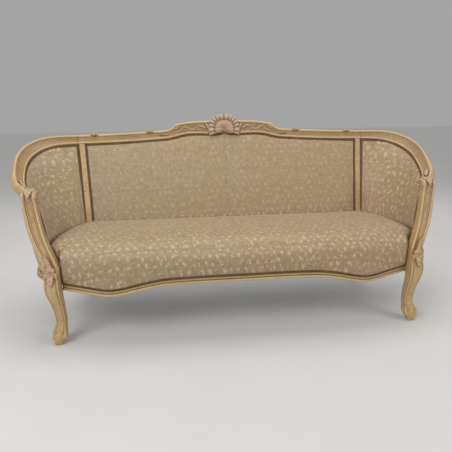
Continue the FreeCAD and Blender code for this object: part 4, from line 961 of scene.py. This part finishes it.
seat_side = [(0.760, 0.163), (0.790, 0.113), (0.823, 0.047), (0.8404, -0.023), (0.8499, -0.092),
             (0.851, -0.153), (0.845, -0.214)]
seat_rear = 0.157
plan = [(x, y + 0.004) for x, y, _ in front_line[70:] if x < 0.775]
plan += [(0.776, -0.300), (0.777, -0.258), (0.806, -0.257), (0.829, -0.240)]
plan += [(x - 0.006, y - 0.001) for x, y in line_through(list(reversed(seat_side)), 25)[:-1]]
plan += [(0.752, seat_rear - 0.002), (0.690, seat_rear), (0.400, seat_rear), (0.150, seat_rear)]
plan = np.array(plan + [(-x, y) for x, y in reversed(plan[1:])] + [(0.0, seat_rear)])[:-1]
middle_y, half_depth = (seat_rear - 0.352) / 2, (seat_rear + 0.352) / 2
rings = []
for height, inset in ((0.3326, 0.0), (0.360, 0.0), (0.398, 0.0), (0.411, 0.002), (0.4195, 0.007),
                      (0.4255, 0.016), (0.4305, 0.030), (0.4345, 0.050), (0.4385, 0.080), (0.4415, 0.115),
                      (0.4438, 0.155), (0.4450, 0.200)):
    ring = []
    for x, y in plan:
        ring.append((x * (1 - inset / 0.851), middle_y + (y - middle_y) * (1 - inset / half_depth), height))
    rings.append(ring)
dome_part = swept(rings, 0.0)
rings = []
for x, y, bottom in front_line:
    lip = bottom + 0.0264
    x *= 0.9965
    ring = [(y + 0.0117, lip), (y + 0.001, lip), (y - 0.0050, lip + 0.004), (y - 0.0105, lip + 0.018),
            (y - 0.0150, lip + 0.045), (y - 0.0165, 0.360), (y - 0.0150, 0.380), (y - 0.0090, 0.397),
            (y + 0.0020, 0.409), (y + 0.0180, 0.4165), (y + 0.0400, 0.4180), (y + 0.0400, 0.3326),
            (y + 0.0117, 0.3326)]
    rings.append([(x, at, z) for at, z in ring])
border_part = swept(rings, 0.0)


def seat_allowed(spots):
    x, y, z = spots.T
    edge = np.interp(x, front_line[:, 0], front_line[:, 1])
    top = np.clip((z - 0.405) / 0.03, 0, 1)
    inland = np.clip((seat_rear - y) / 0.05, 0, 1) * np.clip((0.83 - abs(x)) / 0.06, 0, 1)
    front = np.clip((edge + 0.02 - y) / 0.02, 0, 1) * np.clip((z - 0.285) / 0.05, 0, 1) * (abs(x) < 0.775)
    return 0.0004 + 0.012 * top * inland + 0.006 * front


stuffed(
    "seat_upholstered", [dome_part, border_part], 0.0065, seat_allowed,
    lambda spots: np.stack([spots[:, 0], spots[:, 1] + spots[:, 2]], axis=1),
    ["seat_cover", "seat_stuffing"],
)


# Each panel is a thin pad over webbing, covered tight with the same brocade and tacked to
# the inner edge of the frame, where braid hides the tacks. The back has a seam down its middle.
back_top = crest_inner[crest_inner[:, 0] < 0.752]
stile_low, stile_high = 0.7231, 0.7535
pad_depth = 0.028


def slab(front, rear):
    """A closed part between two equal grids of points, row by row."""
    front, rear = np.asarray(front, float), np.asarray(rear, float)
    high, wide = front.shape[:2]
    count, faces = high * wide, []
    for i in range(high - 1):
        for j in range(wide - 1):
            a = i * wide + j
            faces.append((a, a + 1, a + 1 + wide, a + wide))
            faces.append((count + a + wide, count + a + 1 + wide, count + a + 1, count + a))
    rim = list(range(wide)) + [i * wide + wide - 1 for i in range(1, high)]
    rim += [(high - 1) * wide + j for j in range(wide - 2, -1, -1)]
    rim += [i * wide for i in range(high - 2, 0, -1)]
    for a, b in zip(rim, rim[1:] + rim[:1]):
        faces.append((b, a, count + a, count + b))
    return np.vstack([front.reshape(-1, 3), rear.reshape(-1, 3)]), faces, 0.0


def edge_height(x):
    """How high the upper edge of the back's fabric is."""
    return np.interp(abs(x), back_top[:, 0], back_top[:, 2])


columns = np.concatenate([-np.linspace(0, 1, 90)[:0:-1], np.linspace(0, 1, 90)])
top_x, top_z = [*back_top[:, 0], stile_high], [*back_top[:, 2], 0.823]
foot, steps_up = 0.404, 34
front, rear = [], []
for i in range(steps_up + 1):
    share = i / steps_up
    for column in columns:
        x_top, x_foot = column * stile_high, column * stile_low
        z_top = np.interp(abs(x_top), top_x, top_z) - 0.001
        x, z = x_foot + (x_top - x_foot) * share, foot + (z_top - foot) * share
        crown = 0.006 * (1 - abs(column) ** 4) * math.sin(math.pi * share) ** 0.6
        front.append(on_back(x, z, crown))
        rear.append(on_back(x, z, -pad_depth))
shape = (steps_up + 1, len(columns), 3)
back_pad = slab(np.reshape(front, shape), np.reshape(rear, shape))


def back_allowed(spots):
    x, y, z = spots.T
    inland = np.clip((edge_height(x) - z) / 0.05, 0, 1) * np.clip((stile_low - abs(x)) / 0.05, 0, 1)
    depth = (spots - on_back(0, 0)) @ back_normal
    return 0.0002 + 0.008 * inland * (depth > -0.006)


stuffed(
    "back_upholstered", [back_pad], 0.006, back_allowed,
    lambda spots: np.stack([spots[:, 0], (spots[:, 2] - 0.43) / math.cos(rake) + 0.013], axis=1),
    ["back_cover", "back_stuffing"],
)

panel_top_marks = [(0.784, 0.302, 0.822), (0.894, 0.276, 0.816), (0.961, 0.215, 0.794),
                   (0.991, 0.118, 0.751), (0.982, 0.015, 0.699), (0.950, -0.082, 0.657),
                   (0.910, -0.145, 0.634), (0.878, -0.203, 0.618)]
panel_foot_marks = [(0.755, 0.164, 0.405), (0.786, 0.114, 0.405), (0.820, 0.049, 0.405),
                    (0.840, -0.022, 0.405), (0.850, -0.092, 0.405), (0.851, -0.153, 0.405),
                    (0.845, -0.214, 0.405), (0.826, -0.262, 0.405)]
arm_columns, arm_rows = 76, 30
panel_top = line_through(panel_top_marks, arm_columns)
panel_foot = line_through(panel_foot_marks, arm_columns)
along = np.gradient(panel_top + panel_foot, axis=0)
panel_facing = unit(np.cross(along, panel_top - panel_foot))
panel_facing[:8] = [unit(back_normal * (1 - i / 8) * 0.6 + panel_facing[8] * (0.4 + 0.6 * i / 8))
                    for i in range(8)]


ends = np.clip(np.minimum(np.arange(arm_columns), np.arange(arm_columns)[::-1]) / 9, 0, 1) ** 0.7
share = np.linspace(0, 1, arm_rows + 1)[:, None, None]
taut = panel_foot * (1 - share) + panel_top * share
belly = 0.010 * np.sin(math.pi * share) ** 0.8 * ends[:, None]
arm_lattice = taut + panel_facing * belly
arm_pad = slab(arm_lattice, taut - panel_facing * pad_depth)
lattice_row = arm_lattice[12]
lattice_flat = np.cumsum(np.linalg.norm(np.diff(lattice_row, axis=0, prepend=lattice_row[:1]), axis=1))


def on_lattice(spots):
    """The nearest column and row of the arm's face, by share."""
    spots = np.column_stack([abs(spots[:, 0]), spots[:, 1:]])
    face = arm_lattice.reshape(-1, 3)
    nearest, some = [], 4000
    for start in range(0, len(spots), some):
        away = spots[start : start + some, None] - face
        nearest.append((away**2).sum(-1).argmin(1))
    row, column = np.divmod(np.concatenate(nearest), arm_columns)
    return column, row, spots


def arm_map(spots):
    column, _, spots = on_lattice(spots)
    along = unit(np.gradient(lattice_row, axis=0))[column]
    share = lattice_flat[column] + ((spots - lattice_row[column]) * along * (1, 1, 0)).sum(1)
    return np.stack([share + 1.0, (spots[:, 2] - 0.43) * 1.06], axis=1)


def arm_allowed(spots):
    column, row, spots = on_lattice(spots)
    inland = np.clip(np.minimum(column, arm_columns - 1 - column) / 9, 0, 1)
    inland = inland * np.clip(np.minimum(row + 6, arm_rows - row) / 7, 0, 1)
    depth = ((spots - panel_foot[column]) * panel_facing[column]).sum(1)
    return 0.0002 + 0.008 * inland * (depth > -0.008)


for name, pad in (("right", arm_pad), ("left", mirrored(arm_pad))):
    nodes = [f"arm_cover_{name}", f"arm_stuffing_{name}"]
    stuffed(f"arm_upholstered_{name}", [pad], 0.005, arm_allowed, arm_map, nodes)


# The outside of the back and of each arm is one plain stretched width of the brocade, from
# under the top rail down to the show wood of the seat rails.
def cloth_sheet(name, rows, normals, flat, nodes):
    """A thin cloth through rows of points, with its face on the outside."""
    thick = 0.0015
    sheet = make_piece(name, [slab(rows, rows - normals * thick)], brocade, nodes)
    lay_flat(sheet, np.vstack([np.reshape(flat, (-1, 2))] * 2))
    return sheet


columns = np.linspace(-1, 1, 121)
lowest = 0.3352
rows, flat = [], []
for share in np.arange(41) / 40:
    row = []
    for column in columns:
        z = lowest + (edge_height(column * 0.752) - 0.018 - lowest) * share
        x = column * np.interp(z, (0.335, 0.400, 0.823), (0.7128, 0.7215, 0.7528))
        hollow = 0.003 * math.sin(math.pi * share) * (1 - column**4)
        row.append(on_back(x, z, -0.0385 + hollow))
    rows.append(row)
    flat.append([(column * 0.75, (0.335 + 0.54 * share) * 1.05) for column in columns])
outside_back = cloth_sheet("outside_back_cloth", np.array(rows), -back_normal, flat, ["outside_back_cover"])

wide = 91
behind = arm_inner - arm_facing * 0.0288 - unit(arm_outer - arm_inner) * 0.002
tops = line_through([*behind[::20], (0.9190, -0.1925, 0.614)], wide)
feet = np.column_stack([(side_edge + side_inward * 0.0117)[::10], np.full(8, 0.2885)])
feet[0, 1] += 0.0025
feet = line_through(feet[::-1], wide)
ways = np.column_stack([line_through(side_way[::-1], wide), np.zeros(wide)])
middles = feet * 0.55 + tops * 0.45 - ways * 0.014
bulge = 2 * middles - feet / 2 - tops / 2
shares = np.linspace(0, 1, 31)
rows = np.array([feet * (1 - s) ** 2 + bulge * 2 * s * (1 - s) + tops * s**2 for s in shares])
flat = [[(1 + j * 0.0085, 0.30 + 0.42 * share) for j in range(wide)] for share in shares]
for j, pull in ((0, 1.0), (1, 0.6), (2, 0.25)):  # the rear edge turns in against the post
    rows[:, j, 0] -= 0.017 * pull * np.sin(math.pi * shares)
reach = np.interp(shares, (0, 0.12, 0.20, 0.28, 0.50, 0.75, 1), (0, 0, 0.4, 1, 0.65, 0.2, 0.1))
for j in range(84, wide):  # and the front edge runs on to the arm support
    rows[:, j, :2] += np.outer(reach * ((j - 83) / 7) ** 1.5, (-0.016, -0.036))
normals = unit(np.cross(np.gradient(rows, axis=1), np.gradient(rows, axis=0)))
normals = normals * np.sign((normals * -ways).sum(-1, keepdims=True))
for side, name in ((1, "right"), (-1, "left")):
    mirror_by = np.array((side, 1, 1))
    outside_arm = cloth_sheet(f"outside_arm_cloth_{name}", rows * mirror_by, normals * mirror_by, flat,
                              [f"outside_arm_cover_{name}"])


# A narrow brown braid is glued over the tacked edges: two corded edges with small loops
# worked between them, along the frame of each panel and above the front show wood.
gimp, tree, shader = new_finish("brown_gimp", Roughness=0.75, Sheen_Weight=0.2)
spot = object_place(tree)
strands = clouds(tree, spot, 900.0, 2.0)
age = clouds(tree, spot, 25.0, 3.0)
tone = blend((strands * 2.4 - 0.7).clipped(), linear(78, 52, 27), linear(118, 84, 44))
tone = blend((age * 1.8 - 0.75).clipped(), tone, linear(142, 106, 60))
finish(shader, strands, 0.0004, Base_Color=tone)

braid = bpy.data.node_groups.new("gimp_braid", "GeometryNodeTree")
braid.interface.new_socket("Geometry", in_out="INPUT", socket_type="NodeSocketGeometry")
sizes = {}
for label, value in (("Loop spacing", 0.0052), ("Half width", 0.0044), ("Cord radius", 0.0012)):
    socket = braid.interface.new_socket(label, in_out="INPUT", socket_type="NodeSocketFloat")
    socket.default_value = value
    sizes[socket.identifier] = value
braid.interface.new_socket("Geometry", in_out="OUTPUT", socket_type="NodeSocketGeometry")
given = step(braid, "NodeGroupInput").outputs


def geo(kind, feeds=(), **settings):
    return step(braid, kind, feeds, **settings).outputs[0]


path = geo("GeometryNodeMeshToCurve", {"Mesh": given["Geometry"]})
even = geo("GeometryNodeResampleCurve", {"Curve": path, "Length": given["Loop spacing"]}, mode="LENGTH")
tangent = geo("GeometryNodeInputTangent")
facing = geo("GeometryNodeInputNamedAttribute", {"Name": "face_way"}, data_type="FLOAT_VECTOR")
sideways = geo("ShaderNodeVectorMath", {0: tangent, 1: facing}, operation="CROSS_PRODUCT")
round_cord = geo("GeometryNodeCurvePrimitiveCircle", {"Resolution": 6, "Radius": given["Cord radius"]})
shapes = step(braid, "GeometryNodeJoinGeometry")
for side in (-1.0, 1.0):
    reach = Flow(braid, given["Half width"]) * side
    shift = geo("ShaderNodeVectorMath", {0: sideways, "Scale": reach}, operation="SCALE")
    moved = geo("GeometryNodeSetPosition", {"Geometry": even, "Offset": shift})
    edging = geo("GeometryNodeCurveToMesh", {"Curve": moved, "Profile Curve": round_cord, "Fill Caps": True})
    braid.links.new(edging, shapes.inputs[0])
loop = geo("GeometryNodeCurvePrimitiveCircle", {"Resolution": 8, "Radius": given["Half width"]})
loop = geo("GeometryNodeTransform", {"Geometry": loop, "Scale": (0.55, 0.80, 1.0)})
thread = geo("GeometryNodeCurvePrimitiveCircle", {"Resolution": 4, "Radius": 0.0010})
loop = geo("GeometryNodeCurveToMesh", {"Curve": loop, "Profile Curve": thread})
turned = geo("FunctionNodeAxesToRotation", {"Primary Axis": facing, "Secondary Axis": tangent},
             primary_axis="Z", secondary_axis="X")
# every second loop leans the other way
parity = Flow(braid, geo("GeometryNodeInputIndex")).by("FLOORED_MODULO", 2.0)
slant = geo("ShaderNodeCombineXYZ", {"Z": parity * 1.1 - 0.55})
slant = geo("FunctionNodeEulerToRotation", {0: slant})
turned = geo("FunctionNodeRotateRotation", {0: turned, 1: slant}, rotation_space="LOCAL")
loops = geo("GeometryNodeInstanceOnPoints", {"Points": even, "Instance": loop, "Rotation": turned})
braid.links.new(loops, shapes.inputs[0])
whole = geo("GeometryNodeRealizeInstances", {"Geometry": shapes.outputs[0]})
whole = geo("GeometryNodeSetMaterial", {"Geometry": whole, "Material": gimp})
step(braid, "NodeGroupOutput", {0: whole})


def lay_braid(name, runs, nodes):
    """Braid along runs of (points, facing)."""
    points, edges, faces_to = [], [], []
    for line, facing in runs:
        base = len(points)
        points.extend(map(tuple, line))
        edges.extend((base + i, base + i + 1) for i in range(len(line) - 1))
        faces_to.extend(np.broadcast_to(unit(np.asarray(facing, float)), (len(line), 3)).tolist())
    mesh = bpy.data.meshes.new(name)
    mesh.from_pydata(points, edges, [])
    mesh.attributes.new("face_way", "FLOAT_VECTOR", "POINT").data.foreach_set("vector", np.ravel(faces_to))
    piece = bpy.data.objects.new(name, mesh)
    scene.collection.objects.link(piece)
    worked = piece.modifiers.new("braid", "NODES")
    worked.node_group = braid
    for identifier, value in sizes.items():
        worked[identifier] = value
    settle(piece)
    piece.data.shade_smooth()
    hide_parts(*nodes)
    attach(piece, "root")


lip_line = [(x * 0.9955, y - 0.0068, bottom + 0.0329) for x, y, bottom in front_line]
lay_braid("seat_gimp_braid", [(lip_line, (0, -0.95, -0.32))], ["seat_gimp"])

top_run = [on_back(x, z - 0.0072, 0.0018) for x, _, z in back_top if x < 0.745]
top_run = [p * (-1, 1, 1) for p in top_run[:0:-1]] + top_run
side_run = []
for z in np.linspace(0.436, 0.8225, 60):
    edge = np.interp(z, (0.405, 0.823), (stile_low, stile_high))
    side_run.append(on_back(edge - 0.0064, z, 0.0018))
runs = [(run, back_normal) for run in (top_run, side_run, np.array(side_run) * (-1, 1, 1))]
lay_braid("back_gimp_braid", runs, ["back_gimp"])

down = unit(panel_foot - panel_top)
top_run = (panel_top + down * 0.0072 + panel_facing * 0.0022)[:-2]
inward = unit(arm_lattice[:, 1] - arm_lattice[:, 0])
rear_run = (arm_lattice[:, 0] + inward * 0.0064 + panel_facing[0] * 0.0020)[3:]
inward = unit(arm_lattice[:, -2] - arm_lattice[:, -1])
front_run = (arm_lattice[:, -1] + inward * 0.0085 + panel_facing[-1] * 0.0035)[6:-1]
for side, name in ((1, "right"), (-1, "left")):
    by = np.array((side, 1, 1))
    runs = ((top_run, panel_facing[:-2]), (rear_run, panel_facing[0]), (front_run, panel_facing[-1]))
    lay_braid(f"arm_gimp_braid_{name}", [(run * by, facing * by) for run, facing in runs],
              [f"arm_gimp_{name}"])
